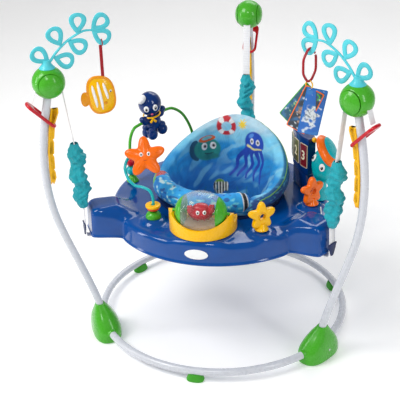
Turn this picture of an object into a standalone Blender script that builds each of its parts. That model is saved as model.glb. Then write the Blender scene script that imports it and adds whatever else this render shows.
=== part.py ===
"""Activity jumper: a ring frame with three bowed legs, and a toy tray with a turning seat hung on springs.

Metres, +Z up. The front is -Y and the child faces it. The object stands on z = 0, and the origin is below the
middle of its outer box, so the floor ring's centre is at (0, RING_Y).
"""

import math

import bmesh
import bpy
from mathutils import Matrix, Vector

# Driving dimensions
GAP = 0.0003  # left between faces that touch
TUBE_R = 0.0111  # 7/8 inch tube
RING_RADIUS = 0.376  # centreline of the floor ring
RING_HEIGHT = 0.030
LEGS = {"front_left": 210, "front_right": 330, "back": 90}  # azimuths, counted from +X
PADS = {"front": 270, "left": 150, "right": 30}
LEG_LINE = (  # (radius, height) of a leg's centreline, from its socket to the strap housing
    (0.3800, 0.046), (0.3850, 0.080), (0.4000, 0.140), (0.4350, 0.245), (0.4700, 0.345),
    (0.4930, 0.420), (0.5060, 0.490), (0.5110, 0.560), (0.5095, 0.620), (0.5010, 0.690), (0.4810, 0.7885),
)
BALL_RADIUS, BALL_CENTRE = 0.045, (0.476, 0.822)
BALL_HALF_WIDTH, BALL_SEAM, BALL_WALL = 0.041, 0.030, 0.003
DRUM_RADIUS = 0.029  # guide drum inside the ball
STRAP_WIDTH, STRAP_THICKNESS = 0.022, 0.002
SPRING_TOP, SPRING_BOTTOM = (0.4230, 0.636), (0.4120, 0.4372)  # ends of a spring cover
NOTCH_HEIGHTS = (0.700, 0.655, 0.610, 0.565)
HANDLE_INNER, HANDLE_OUTER = (0.4690, 0.694), (0.543, 0.770)
PAD_HALF_WIDTH = 0.014
FRONT_REACH = RING_RADIUS + PAD_HALF_WIDTH
BACK_REACH = HANDLE_OUTER[0] + 0.00308  # the back handle's tip, with its thickness
RING_Y = -(BACK_REACH - FRONT_REACH) / 2

TRAY_RADIUS, LOBE_RADIUS, TRAY_HOLE = 0.322, 0.402, 0.1585
RIM_HEIGHT, PLAY_HEIGHT, LOBE_HEIGHT, TRAY_WALL = 0.345, 0.412, 0.445, 0.003
SEAT_BACK_AZIMUTH, SEAT_RADIUS = 80, 0.193
ROLL_HEIGHT, BACK_HEIGHT = 0.472, 0.600
TOY_DRUM = (0.002, -0.256, 0.477)  # centre, from the ring's centre
DRUM_HALF_LENGTH, WINDOW_RADIUS, WINDOW_HALF = 0.0735, 0.0595, 0.048
YELLOW_POST, ORANGE_POST = (306.2, 0.279, 306), (350.5, 0.284, 320)  # azimuth, radius and facing
STALK_FOOT = (-0.149, -0.207)
STAR_CENTRE = Vector((-0.177, -0.165, 0.588))
STAR_NORMAL = Vector((0.25, -0.85, 0.46)).normalized()
ARCH_FEET = ((-0.283, 0.035), (-0.140, 0.262))
OCTOPUS_BAR = Vector((-0.2335, 0.1136, 0.5935))  # where the octopus sits on the arch
PIANO_CENTRE, PIANO_FACING = (0.238, 0.081), 209
TURTLE_CENTRE = Vector((0.309, 0.016, 0.518))
HOOK_LOOP = (0.324, 0.9155)  # lower rim of the leaf loop that a toy hangs on

PARTS = "activity_jumper"


def clear_scene():
    for obj in list(bpy.data.objects):
        bpy.data.objects.remove(obj)


def collection(name):
    made = bpy.data.collections.new(name)
    bpy.context.scene.collection.children.link(made)
    return made


def material(name, colour, roughness=0.4, alpha=1.0):
    made = bpy.data.materials.new(name)
    made.use_nodes = True
    shader = made.node_tree.nodes["Principled BSDF"]
    shader.inputs["Base Color"].default_value = (*colour, 1.0)
    shader.inputs["Roughness"].default_value = roughness
    shader.inputs["Metallic"].default_value = 0.0
    shader.inputs["Alpha"].default_value = alpha
    made.diffuse_color = (*colour, alpha)
    return made


# Placing


def polar(azimuth, radius, height):
    angle = math.radians(azimuth)
    return Vector((radius * math.cos(angle), RING_Y + radius * math.sin(angle), height))


def from_ring(x, y, z):
    return Vector((x, RING_Y + y, z))


def around(azimuth):
    """A frame on the ring's axis: X outward along the azimuth, Y tangential, Z up."""
    return Matrix.Translation((0, RING_Y, 0)) @ Matrix.Rotation(math.radians(azimuth), 4, "Z")


def upright_plane(azimuth):
    """The frame of a plate drawn with x as radius and y as height; its thickness is tangential."""
    return around(azimuth) @ Matrix.Rotation(math.pi / 2, 4, "X")


def aimed(centre, direction, across=(0, 0, 1)):
    """A frame whose Z axis points along a direction, and whose X axis is as near `across` as it can be."""
    z = Vector(direction).normalized()
    y = z.cross(Vector(across)).normalized()
    rotation = Matrix((y.cross(z), y, z)).transposed().to_4x4()
    return Matrix.Translation(centre) @ rotation


# Shapes: each returns a mesh object that a part is then made from


def shape(mesh):
    obj = bpy.data.objects.new("shape", mesh)
    helpers.objects.link(obj)
    return obj


def shape_from(built):
    bmesh.ops.remove_doubles(built, verts=built.verts, dist=1e-6)
    bmesh.ops.recalc_face_normals(built, faces=built.faces)
    mesh = bpy.data.meshes.new("shape")
    built.to_mesh(mesh)
    built.free()
    return shape(mesh)


def evaluated(obj):
    """Takes a helper's evaluated mesh in place of the helper, welded and facing out."""
    bpy.context.view_layer.update()
    graph = bpy.context.evaluated_depsgraph_get()
    mesh = bpy.data.meshes.new_from_object(obj.evaluated_get(graph))
    built = bmesh.new()
    built.from_mesh(mesh)
    built.transform(obj.matrix_world)
    bpy.data.objects.remove(obj)
    bpy.data.meshes.remove(mesh)
    return shape_from(built)


def box(size, centre=(0, 0, 0), matrix=None):
    built = bmesh.new()
    bmesh.ops.create_cube(built, size=1)
    built.transform((matrix or Matrix()) @ Matrix.Translation(centre) @ Matrix.Diagonal((*size, 1)))
    return shape_from(built)


def cone(radius_low, radius_high, low, high, matrix=None, sides=20):
    """A cylinder or cone along the local Z axis, from low to high."""
    built = bmesh.new()
    bmesh.ops.create_cone(
        built, cap_ends=True, segments=sides, radius1=radius_low, radius2=radius_high, depth=high - low
    )
    built.transform((matrix or Matrix()) @ Matrix.Translation((0, 0, (low + high) / 2)))
    return shape_from(built)


def ball(radii, centre=(0, 0, 0), matrix=None, around_steps=14, up_steps=8):
    built = bmesh.new()
    bmesh.ops.create_uvsphere(built, u_segments=around_steps, v_segments=up_steps, radius=1)
    built.transform((matrix or Matrix()) @ Matrix.Translation(centre) @ Matrix.Diagonal((*radii, 1)))
    return shape_from(built)


def tube(points, radius, matrix=None, resolution=2, closed=False):
    curve = bpy.data.curves.new("shape", "CURVE")
    curve.dimensions = "3D"
    curve.bevel_depth, curve.bevel_resolution = radius, resolution
    curve.use_fill_caps = not closed
    spline = curve.splines.new("POLY")
    spline.points.add(len(points) - 1)
    for knot, point in zip(spline.points, points):
        knot.co = (*point, 1)
    spline.use_cyclic_u = closed
    obj = shape(curve)
    obj.matrix_world = matrix or Matrix()
    return evaluated(obj)


def plate(outlines, thickness, matrix=None):
    """A flat piece in the local XY plane, centred on it; outlines inside the first one are holes."""
    curve = bpy.data.curves.new("shape", "CURVE")
    curve.dimensions, curve.fill_mode = "2D", "BOTH"
    curve.extrude = thickness / 2
    for outline in outlines:
        spline = curve.splines.new("POLY")
        spline.points.add(len(outline) - 1)
        for knot, point in zip(spline.points, outline):
            knot.co = (point[0], point[1], 0, 1)
        spline.use_cyclic_u = True
    obj = shape(curve)
    obj.matrix_world = matrix or Matrix()
    return evaluated(obj)


def turned(profile, matrix=None, steps=16, closed=False):
    """A profile of (radius, height) points turned about the local Z axis, top to bottom on its outer side."""
    mesh = bpy.data.meshes.new("shape")
    count = len(profile)
    edges = [(i, i + 1) for i in range(count - 1)] + ([(count - 1, 0)] if closed else [])
    mesh.from_pydata([(radius, 0, height) for radius, height in profile], edges, [])
    obj = shape(mesh)
    obj.matrix_world = matrix or Matrix()
    screw = obj.modifiers.new("turn", "SCREW")
    screw.steps = screw.render_steps = steps
    screw.use_merge_vertices, screw.merge_threshold = True, 1e-5
    return evaluated(obj)


def loft(rings, closed=False):
    """A solid through rings of equal point counts: capped at both ends, or closed on itself."""
    built = bmesh.new()
    rows = [[built.verts.new(point) for point in ring] for ring in rings]
    pairs = list(zip(rows, rows[1:] + rows[:1])) if closed else list(zip(rows, rows[1:]))
    for low, high in pairs:
        for i in range(len(low)):
            j = (i + 1) % len(low)
            built.faces.new((low[i], low[j], high[j], high[i]))
    if not closed:
        built.faces.new(rows[0])
        built.faces.new(rows[-1])
    return shape_from(built)


def combined(base, others, operation):
    for other in others:
        boolean = base.modifiers.new("combine", "BOOLEAN")
        boolean.operation, boolean.object = operation, other
    made = evaluated(base)
    for other in others:
        bpy.data.objects.remove(other)
    return made


def joined(*shapes):
    return combined(shapes[0], shapes[1:], "UNION")


def cut(base, *cutters):
    return combined(base, cutters, "DIFFERENCE")


def part(name, made, slot, origin=None):
    """Turns a finished shape into the named part, with its origin on its joint where one is given."""
    obj = bpy.data.objects.new(name, made.data)
    obj.data.name = name
    bpy.data.objects.remove(made)
    if origin is not None:
        obj.data.transform(Matrix.Translation(-Vector(origin)))
        obj.location = origin
    obj.data.shade_smooth()
    obj.data.set_sharp_from_angle(angle=math.radians(40))
    obj.data.materials.append(slot)
    parts.objects.link(obj)
    return obj


# Outlines and paths


def smooth(points, steps):
    """Points on a Catmull-Rom curve through the given ones."""
    knots = [Vector(point) for point in points]
    knots = [knots[0] * 2 - knots[1], *knots, knots[-1] * 2 - knots[-2]]
    path = []
    for a, b, c, d in zip(knots, knots[1:], knots[2:], knots[3:]):
        for i in range(steps):
            t = i / steps
            path.append(0.5 * (2 * b + (c - a) * t + (2 * a - 5 * b + 4 * c - d) * t**2
                               + (3 * b - a - 3 * c + d) * t**3))
    return [*path, knots[-2]]


def arc(centre, radius, start, end, count):
    angles = [math.radians(start + (end - start) * i / (count - 1)) for i in range(count)]
    return [(centre[0] + radius * math.cos(a), centre[1] + radius * math.sin(a)) for a in angles]


def rounded_rectangle(half_x, half_y, radius, centre=(0, 0), count=4):
    corners = ((1, 1, 0), (-1, 1, 90), (-1, -1, 180), (1, -1, 270))
    outline = []
    for x, y, start in corners:
        middle = (centre[0] + x * (half_x - radius), centre[1] + y * (half_y - radius))
        outline += arc(middle, radius, start, start + 90, count)
    return outline


def star_outline(radius, count=30, turn=90, depth=0.27):
    angles = [math.tau * i / count for i in range(count)]
    reach = [radius * (1 + depth * math.cos(5 * a)) / (1 + depth) for a in angles]
    turned_by = math.radians(turn)
    return [(r * math.cos(a + turned_by), r * math.sin(a + turned_by)) for r, a in zip(reach, angles)]


def teardrop(tip, heart, length, half_width, start, count):
    """A loop from its pointed tip towards its heart; start moves the tip along the axis."""
    axis = (Vector(heart) - Vector(tip)).normalized()
    side = Vector((-axis.y, axis.x))
    outline = []
    for i in range(count):
        t = math.tau * (i + 0.5) / count
        along = start + length * (1 - math.cos(t)) / 2
        outline.append(Vector(tip) + axis * along + side * (half_width / 0.77 * math.sin(t) * math.sin(t / 2)))
    return outline


def ribbon(path, thickness):
    """The outline of a strip of even thickness along a flat path."""
    points = [Vector(point) for point in path]
    left, right = [], []
    for i, point in enumerate(points):
        along = (points[min(i + 1, len(points) - 1)] - points[max(i - 1, 0)]).normalized()
        side = Vector((-along.y, along.x)) * (thickness / 2)
        left.append(point + side)
        right.append(point - side)
    return left + right[::-1]


def tangent_angle(point, centre, radius, side):
    """The angle on a circle where the line from an outside point touches it."""
    away = Vector(point) - Vector(centre)
    return math.degrees(math.atan2(away.y, away.x)) + side * math.degrees(math.acos(radius / away.length))


LEG_PATH = smooth(LEG_LINE, 2)


def leg_radius(height):
    """The radius of a leg's centreline at a height."""
    for low, high in zip(LEG_PATH, LEG_PATH[1:]):
        if low.y <= height <= high.y:
            return low.x + (high.x - low.x) * (height - low.y) / (high.y - low.y)
    return LEG_PATH[-1].x


# Frame


def ring_path(start, end):
    count = 20
    return [polar(start + (end - start) * i / count, RING_RADIUS, RING_HEIGHT) for i in range(count + 1)]


def socket_rings():
    """(height, radial centre, radial half, tangential half) of a leg socket, floor to top."""
    return (
        (0.000, 0.376, 0.024, 0.060), (0.010, 0.376, 0.0270, 0.0625), (0.040, 0.377, 0.0265, 0.056),
        (0.070, 0.382, 0.0225, 0.038), (0.092, 0.386, 0.0180, 0.0225), (0.104, 0.389, 0.0150, 0.0160),
    )


def leg_socket(name, azimuth):
    rings = []
    for height, centre, radial, tangential in socket_rings():
        outline = []
        for i in range(16):
            a = math.tau * i / 16
            squareness = 0.75
            x = centre + radial * math.copysign(abs(math.cos(a)) ** squareness, math.cos(a))
            y = tangential * math.copysign(abs(math.sin(a)) ** squareness, math.sin(a))
            outline.append(around(azimuth) @ Vector((x, y, height)))
        rings.append(outline)
    leg = [around(azimuth) @ Vector((point.x, 0, point.y)) for point in LEG_PATH[:6]]
    leg[0] -= Vector((0, 0, GAP))
    bores = [tube(leg, TUBE_R + GAP)]
    for turn in (1, -1):
        path = ring_path(azimuth + turn * 2.0, azimuth + turn * 118)[:5]
        path[0] += (path[0] - path[1]).normalized() * GAP
        bores.append(tube(path, TUBE_R + GAP))
    return part("leg_socket_" + name, cut(loft(rings), *bores), GREEN)


def build_base():
    for name, start in (("left", 90), ("front", 210), ("right", 330)):
        part("ring_tube_" + name, tube(ring_path(start + 2, start + 118), TUBE_R), WHITE)
    for name, azimuth in LEGS.items():
        leg_socket(name, azimuth)
        path = [around(azimuth) @ Vector((point.x, 0, point.y)) for point in LEG_PATH]
        part("upright_" + name, tube(path, TUBE_R), WHITE)
    for name, azimuth in PADS.items():
        outline = rounded_rectangle(PAD_HALF_WIDTH, 0.019, 0.007, centre=(RING_RADIUS, 0), count=3)
        pad = plate([outline], 0.024, around(azimuth) @ Matrix.Translation((0, 0, 0.012)))
        part("floor_pad_" + name, cut(pad, tube(ring_path(azimuth - 58, azimuth + 58)[7:14], TUBE_R + GAP)), GREEN)


def build_racks():
    """Toothed strips on the inner face of each leg, which the handles hook on."""
    back, tip, root = TUBE_R + 2 * GAP, TUBE_R + 0.0098, TUBE_R + 0.0060
    low, high, half_notch = 0.522, 0.746, 0.005
    face = [(leg_radius(height) - back, height) for height in (low, 0.56, 0.62, 0.69, high)]
    teeth = [(leg_radius(high) - tip - 0.003, high), (leg_radius(high) - tip - 0.003, high - 0.012)]
    for notch in NOTCH_HEIGHTS:
        for height, depth in ((notch + half_notch, tip), (notch + half_notch - 0.001, root), (notch - 0.006, tip)):
            teeth.append((leg_radius(height) - depth, height))
    teeth.append((leg_radius(low + 0.02) - tip, low + 0.02))
    for name, azimuth in LEGS.items():
        part("rack_" + name, plate([face + teeth], 0.012, upright_plane(azimuth)), YELLOW)


def ball_profile(low, high, radius, count):
    """(radius, axial) points of a sphere about the ball's centre, between two axial stations."""
    stations = [low + (high - low) * i / (count - 1) for i in range(count)]
    return [(math.sqrt(radius**2 - a**2), a) for a in stations]


def strap_path():
    """From the spring, over the guide drum, to the handle, as (radius, height)."""
    low, high = (SPRING_TOP[0] + 0.0003, SPRING_TOP[1] + 0.0006), (0.5270, 0.7680)
    radius = DRUM_RADIUS + GAP + STRAP_THICKNESS / 2 + 0.0004
    start = tangent_angle(low, BALL_CENTRE, radius, -1) % 360
    end = tangent_angle(high, BALL_CENTRE, radius, 1) % 360
    if end > start:
        end -= 360
    return [low, *arc(BALL_CENTRE, radius, start, end, 9), high]


def strap_slot(azimuth, inside, outside):
    """The cutter of a slot where the strap's straight run leaves the ball."""
    start, along = Vector(inside), (Vector(outside) - Vector(inside)).normalized()
    to_centre = Vector(BALL_CENTRE) - start
    nearest = to_centre.dot(along)
    reach = nearest + math.sqrt(BALL_RADIUS**2 - (to_centre.length_squared - nearest**2))
    leaving = start + along * (reach - BALL_WALL / 2)
    at = Matrix.Translation((leaving.x, 0, leaving.y)) @ Matrix.Rotation(math.atan2(along.x, along.y), 4, "Y")
    return box((0.0055, STRAP_WIDTH + 0.003, 0.022), (0, 0, 0), around(azimuth) @ at)


def build_balls():
    """Strap housings: a main shell with the leg and strap openings, and a cover with the guide drum."""
    inner, face = BALL_RADIUS - BALL_WALL, BALL_HALF_WIDTH - BALL_WALL
    shell = ball_profile(BALL_SEAM, -BALL_HALF_WIDTH, BALL_RADIUS, 7)
    shell += [(0, -BALL_HALF_WIDTH), (0, -face)]
    shell += ball_profile(-face, BALL_SEAM, inner, 5)
    drum_meets = math.sqrt(inner**2 - DRUM_RADIUS**2)
    cover = [(0, BALL_HALF_WIDTH), *ball_profile(BALL_HALF_WIDTH, BALL_SEAM + GAP, BALL_RADIUS, 4)]
    cover += ball_profile(BALL_SEAM + GAP, drum_meets, inner, 3)
    cover += [(DRUM_RADIUS, -0.020), (0, -0.020)]
    centre_x, centre_z = BALL_CENTRE
    path = strap_path()
    leg_end = [*LEG_PATH[-4:-1], LEG_PATH[-1] + (LEG_PATH[-1] - LEG_PATH[-2]).normalized() * GAP]
    for name, azimuth in LEGS.items():
        # The ball's own axis is tangential, with its cover on the side of greater azimuth.
        place = around(azimuth) @ Matrix.Translation((centre_x, 0, centre_z)) @ Matrix.Rotation(-math.pi / 2, 4, "X")
        leg = tube([around(azimuth) @ Vector((point.x, 0, point.y)) for point in leg_end], TUBE_R + GAP)
        slots = [strap_slot(azimuth, path[1], path[0]), strap_slot(azimuth, path[-2], path[-1])]
        main = cut(turned(shell, place, steps=16, closed=True), leg, *slots)
        part("ball_shell_" + name, main, GREEN)
        part("ball_cover_" + name, turned(cover, place, steps=16), GREEN)


def build_leaves():
    """Flat branches with open teardrop loops, one on each front ball; toys hang on their last loop."""
    stem = smooth([(0.4765, 0.870), (0.4640, 0.882), (0.4450, 0.905), (0.4130, 0.932), (0.3740, 0.951),
                   (0.3500, 0.952), (0.3400, 0.951)], 2)
    loops = (  # tip on the stem, and heart
        ((0.468, 0.876), (0.487, 0.893)), ((0.457, 0.889), (0.425, 0.877)), ((0.433, 0.917), (0.446, 0.946)),
        ((0.415, 0.930), (0.389, 0.914)), ((0.388, 0.945), (0.384, 0.978)), ((0.350, 0.952), (0.326, 0.970)),
        ((0.349, 0.951), (0.324, 0.9340)),
    )
    for name in ("front_left", "front_right"):
        plane = upright_plane(LEGS[name])
        pieces = [plate([ribbon(stem, 0.008)], 0.0068, plane)]
        for number, (tip, heart) in enumerate(loops):
            outer = teardrop(tip, heart, 0.054, 0.0205, 0.0, 12)
            hole = teardrop(tip, heart, 0.034, 0.0140, 0.013, 9)
            pieces.append(plate([outer, hole], 0.0054 + 0.0001 * (number % 2), plane))
        collar = cone(0.020, 0.011, 0.855, 0.884, around(LEGS[name]) @ Matrix.Translation((BALL_CENTRE[0], 0, 0)), 16)
        top = ball((BALL_RADIUS + 3 * GAP,) * 3, (BALL_CENTRE[0], 0, BALL_CENTRE[1]), around(LEGS[name]), 16, 12)
        pieces.append(cut(collar, top))
        part("leaf_branch_" + name.split("_")[1], joined(*pieces), AQUA)


# Suspension


def handle_matrix(azimuth):
    """The handle's frame: X up its slope from the inner end, Y tangential."""
    rise = math.atan2(HANDLE_OUTER[1] - HANDLE_INNER[1], HANDLE_OUTER[0] - HANDLE_INNER[0])
    at = Matrix.Translation((HANDLE_INNER[0], 0, HANDLE_INNER[1]))
    return around(azimuth) @ at @ Matrix.Rotation(-rise, 4, "Y")


def build_handles():
    length = math.dist(HANDLE_INNER, HANDLE_OUTER)
    middle = length / 2
    hole = rounded_rectangle(0.0350, 0.0140, 0.011, centre=(0.0440, 0), count=4)
    for name, azimuth in LEGS.items():
        outline = rounded_rectangle(middle, 0.0230, 0.020, centre=(middle, 0), count=5)
        handle = plate([outline, hole], 0.0085, handle_matrix(azimuth))
        part("handle_" + name, handle, RED)


def spring_frame(azimuth):
    """The frame of a spring: Z up its axis from the lower end."""
    low = around(azimuth) @ Vector((SPRING_BOTTOM[0], 0, SPRING_BOTTOM[1]))
    high = around(azimuth) @ Vector((SPRING_TOP[0], 0, SPRING_TOP[1]))
    return aimed(low, high - low, around(azimuth).to_3x3() @ Vector((1, 0, 0)))


def coil_path(length, radius, turns, per_turn):
    path = [Vector((0, 0, 0.001)), Vector((radius * 0.5, 0, 0.006))]
    low, high = 0.010, length - 0.010
    for i in range(turns * per_turn + 1):
        a = math.tau * i / per_turn
        path.append(Vector((radius * math.cos(a), radius * math.sin(a), low + (high - low) * i / (turns * per_turn))))
    return [*path, Vector((radius * 0.5, 0, length - 0.006)), Vector((0, 0, length - 0.001))]


def build_suspension():
    length = math.dist(SPRING_BOTTOM, SPRING_TOP)
    gathers = (0.0125, 0.0215, 0.0235, 0.0185, 0.0240, 0.0200, 0.0245, 0.0195, 0.0140)
    outside = [(radius, length * (1 - i / (len(gathers) - 1))) for i, radius in enumerate(gathers)]
    cover = [*outside, (0.0112, 0), (0.0112, length)]
    bottom, top = SPRING_BOTTOM[1] - 2 * GAP, RIM_HEIGHT - GAP
    hook = [
        (0.4105, bottom), (0.4135, bottom), (0.4135, top - 0.003), (0.3800, top - 0.003), (0.3800, top), (0.4105, top),
    ]
    for name, azimuth in LEGS.items():
        strap = plate([ribbon(strap_path(), STRAP_THICKNESS)], STRAP_WIDTH, upright_plane(azimuth))
        part("strap_" + name, strap, WEBBING)
        frame = spring_frame(azimuth)
        part("spring_" + name, tube(coil_path(length, 0.0088, 8, 8), 0.0012, frame, 0), STEEL)
        part("spring_cover_" + name, turned(cover, frame, steps=12, closed=True), TEAL_FABRIC)
        part("strap_hook_" + name, plate([hook], 0.026, upright_plane(azimuth)), NAVY)


# Tray


def tray_azimuths():
    """Sections round the tray, closer together at the lobes."""
    offsets = (0, 4, 6.5, 8.5, 10.5, 13.5, 20, 32, 46)
    spread = [*sorted({*offsets, *(-offset for offset in offsets[1:])}), 60]
    return [leg + offset for leg in (90, 210, 330) for offset in spread]


def lobe_share(azimuth, half, fade):
    """1 on a lobe's middle, 0 between lobes."""
    away = min(abs((azimuth - leg + 180) % 360 - 180) for leg in LEGS.values())
    t = min(max((half + fade - away) / fade, 0), 1)
    return t * t * (3 - 2 * t)


def tray_reach(azimuth):
    away = min(abs((azimuth - leg + 180) % 360 - 180) for leg in LEGS.values())
    flat = LOBE_RADIUS / math.cos(math.radians(min(away, 8)))
    return TRAY_RADIUS + (flat - 0.003 - TRAY_RADIUS) * lobe_share(azimuth, 6.0, 6.5)


def tray_skin(azimuth):
    """(radius, height) of the upper shell's outer surface, from the seat hole to the lower rim."""
    reach, lift = tray_reach(azimuth), (LOBE_HEIGHT - PLAY_HEIGHT) * lobe_share(azimuth, 5.0, 9.0)
    return [
        (TRAY_HOLE, PLAY_HEIGHT), (0.215, PLAY_HEIGHT), (0.270, PLAY_HEIGHT), (0.297, PLAY_HEIGHT + 0.75 * lift),
        (reach - 0.020, PLAY_HEIGHT + lift), (reach - 0.006, PLAY_HEIGHT - 0.012 + lift), (reach, 0.380),
        (reach, RIM_HEIGHT),
    ]


def sections(azimuths, profile):
    """Rings of points, one closed profile at each azimuth."""
    return [[polar(azimuth, radius, height) for radius, height in profile(azimuth)] for azimuth in azimuths]


def upper_profile(azimuth):
    skin = tray_skin(azimuth)
    reach = skin[-1][0]
    inside = [(reach - TRAY_WALL, RIM_HEIGHT), (reach - TRAY_WALL, 0.380)]
    inside += [(radius - 0.0015, height - TRAY_WALL) for radius, height in skin[5:1:-1]]
    return [*skin, *inside, (TRAY_HOLE, PLAY_HEIGHT - TRAY_WALL)]


def lower_profile(azimuth):
    reach = tray_reach(azimuth) - TRAY_WALL - 2 * GAP
    top, low = PLAY_HEIGHT - TRAY_WALL - GAP, RIM_HEIGHT
    return [
        (TRAY_HOLE, top), (TRAY_HOLE + 0.003, top), (TRAY_HOLE + 0.003, 0.3755), (0.240, low + 0.003),
        (reach, low + 0.003), (reach, low), (0.240, low), (TRAY_HOLE, 0.3725),
    ]


def crescent(outer_radius, inner_radius, low, high):
    """A block under the toy drum: round at the front, hollowed at the back to clear the seat."""
    centre = from_ring(TOY_DRUM[0], TOY_DRUM[1] + 0.034, 0)
    block = cone(outer_radius, outer_radius, low, high, Matrix.Translation(centre), 28)
    return cut(block, cone(inner_radius, inner_radius, low - 0.01, high + 0.01, around(0), 36))


def pedestal(azimuth, radius, foot_radius=0.034, top_radius=0.026):
    low, high = PLAY_HEIGHT - 0.002, PLAY_HEIGHT + 0.010
    return cone(foot_radius, top_radius, low, high, Matrix.Translation(polar(azimuth, radius, 0)), 16)


def foot_azimuth(foot):
    return math.degrees(math.atan2(foot[1], foot[0])), math.hypot(*foot)


def build_tray():
    azimuths = tray_azimuths()
    raised = [crescent(0.0990, 0.206, PLAY_HEIGHT - 0.027, PLAY_HEIGHT + 0.004)]
    raised += [pedestal(*place) for place in (YELLOW_POST[:2], ORANGE_POST[:2], foot_azimuth(STALK_FOOT))]
    upper = joined(loft(sections(azimuths, upper_profile), closed=True), *raised)
    part("tray_top", upper, BLUE)
    part("tray_bottom", loft(sections(azimuths, lower_profile), closed=True), BLUE)


# Seat


def seat_rim(azimuth):
    """The seat edge's height: a low roll in front rising to the high back."""
    from_back = math.radians(azimuth - SEAT_BACK_AZIMUTH)
    return ROLL_HEIGHT + (BACK_HEIGHT - ROLL_HEIGHT) * ((1 + math.cos(from_back)) / 2) ** 2.5


def build_seat():
    centre = from_ring(0, 0, 0)
    flange, sleeve = 0.188, TRAY_HOLE - 0.003
    low, top = 0.3640, PLAY_HEIGHT + GAP
    ring = [
        (flange, top + 0.006), (flange, top), (sleeve, top), (sleeve, 0.3695), (sleeve + 0.0085, 0.3685),
        (sleeve + 0.0085, low), (sleeve - 0.005, low), (sleeve - 0.005, top + 0.006),
    ]
    part("seat_ring", turned(ring, Matrix.Translation(centre), steps=24, closed=True), NAVY, centre)

    seat_foot = top + 0.006 + GAP
    inside = sleeve - 0.005 - 2 * GAP

    def profile(azimuth):
        rim = seat_rim(azimuth)
        flare = 0.004 * (rim - ROLL_HEIGHT) / (BACK_HEIGHT - ROLL_HEIGHT)
        outer = [
            (0.070, 0.240), (0.118, 0.262), (0.138, 0.320), (inside, 0.400), (inside, seat_foot),
            (SEAT_RADIUS - 0.006, seat_foot), (SEAT_RADIUS, seat_foot + 0.014), (SEAT_RADIUS + flare, rim - 0.022),
            (SEAT_RADIUS - 0.005 + flare, rim - 0.004), (SEAT_RADIUS - 0.018 + flare, rim),
        ]
        inner = [
            (SEAT_RADIUS - 0.034 + flare, rim - 0.012), (SEAT_RADIUS - 0.037, 0.440), (0.1395, 0.400), (0.1290, 0.325),
            (0.1100, 0.270), (0.0650, 0.2475),
        ]
        return outer + inner

    azimuths = [15 * i for i in range(24)]
    columns = sections(azimuths, profile)
    floor_outer = [column[0] for column in columns]
    floor_inner = [column[-1] for column in columns]
    built = bmesh.new()
    rows = [[built.verts.new(point) for point in column] for column in columns]
    for low_row, high_row in zip(rows, rows[1:] + rows[:1]):
        for i in range(len(low_row) - 1):
            built.faces.new((low_row[i], low_row[i + 1], high_row[i + 1], high_row[i]))
    for index, rim_points, middle in ((0, floor_outer, 0.238), (-1, floor_inner, 0.248)):
        middle_point = built.verts.new(centre + Vector((0, 0, middle)))
        for i in range(len(rim_points)):
            built.faces.new((rows[i][index], rows[(i + 1) % len(rows)][index], middle_point))
    pad = shape_from(built)
    holes = []
    for side in (-40, 40):
        facing = around(SEAT_BACK_AZIMUTH + 180 + side)
        middle = Matrix.Translation((0, 0, 0.312)) @ Matrix.Rotation(math.pi / 2, 4, "Y")
        holes.append(cone(0.043, 0.043, 0.06, 0.20, facing @ middle, 16))
    part("seat_pad", cut(pad, *holes), SEAT_BLUE, centre)


# Toys on the tray


def build_drum():
    """A clear drum on an axle between the two horns of a yellow base, with a crab on the axle."""
    x, y, z = TOY_DRUM
    centre = from_ring(x, y, z)
    sideways = aimed(centre, (1, 0, 0), (0, 0, 1))
    low = PLAY_HEIGHT + 0.004 + GAP
    base = crescent(0.0950, 0.210, low, z + 0.003)
    scoop_radius, front_lip = 0.125, z - 0.031
    scoop_at = aimed(centre + Vector((0, 0, front_lip + scoop_radius - z)), (0, 1, 0), (1, 0, 0))
    scoop = cone(scoop_radius, scoop_radius, -0.15, 0.15, scoop_at, 44)
    well = ball((WINDOW_RADIUS + 0.002, WINDOW_RADIUS + 0.002, DRUM_HALF_LENGTH + 0.002), (0, 0, 0), sideways, 24, 14)
    journal = cone(0.0052, 0.0052, -0.0810, 0.0810, sideways, 12)
    part("drum_base", cut(base, scoop, well, journal), YELLOW)

    def barrel(along, inset=0.0):
        return WINDOW_RADIUS * math.sqrt(1 - (along / DRUM_HALF_LENGTH) ** 2) - inset, along

    inner_face = WINDOW_HALF + GAP
    caps = [barrel(along) for along in (inner_face, 0.056, 0.063, 0.069)]
    top_half = [(0, 0.0800), (0.0045, 0.0800), (0.0045, 0.0727), *caps[::-1], (0.0060, inner_face)]
    spool = top_half + [(radius, -along) for radius, along in top_half[::-1]]
    part("drum_spool", turned(spool, sideways, steps=18), GREEN, centre)

    stations = [WINDOW_HALF * share for share in (1, 0.6, 0.2, -0.2, -0.6, -1)]
    wall = [barrel(along) for along in stations] + [barrel(along, 0.0025) for along in stations[::-1]]
    part("drum_window", turned(wall, sideways, steps=24, closed=True), CLEAR, centre)

    body = ball((0.033, 0.021, 0.022), centre, None, 12, 8)
    claws = [ball((0.010, 0.009, 0.012), centre + Vector((side * 0.031, -0.012, 0.012)), None, 8, 6) for side in (-1, 1)]
    feet = [ball((0.008, 0.006, 0.008), centre + Vector((side * 0.022, 0, -0.018)), None, 6, 4) for side in (-1, 1)]
    bore = cone(0.0063, 0.0063, -0.05, 0.05, sideways, 12)
    part("drum_crab", cut(joined(body, *claws, *feet), bore), RED, centre)


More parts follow.
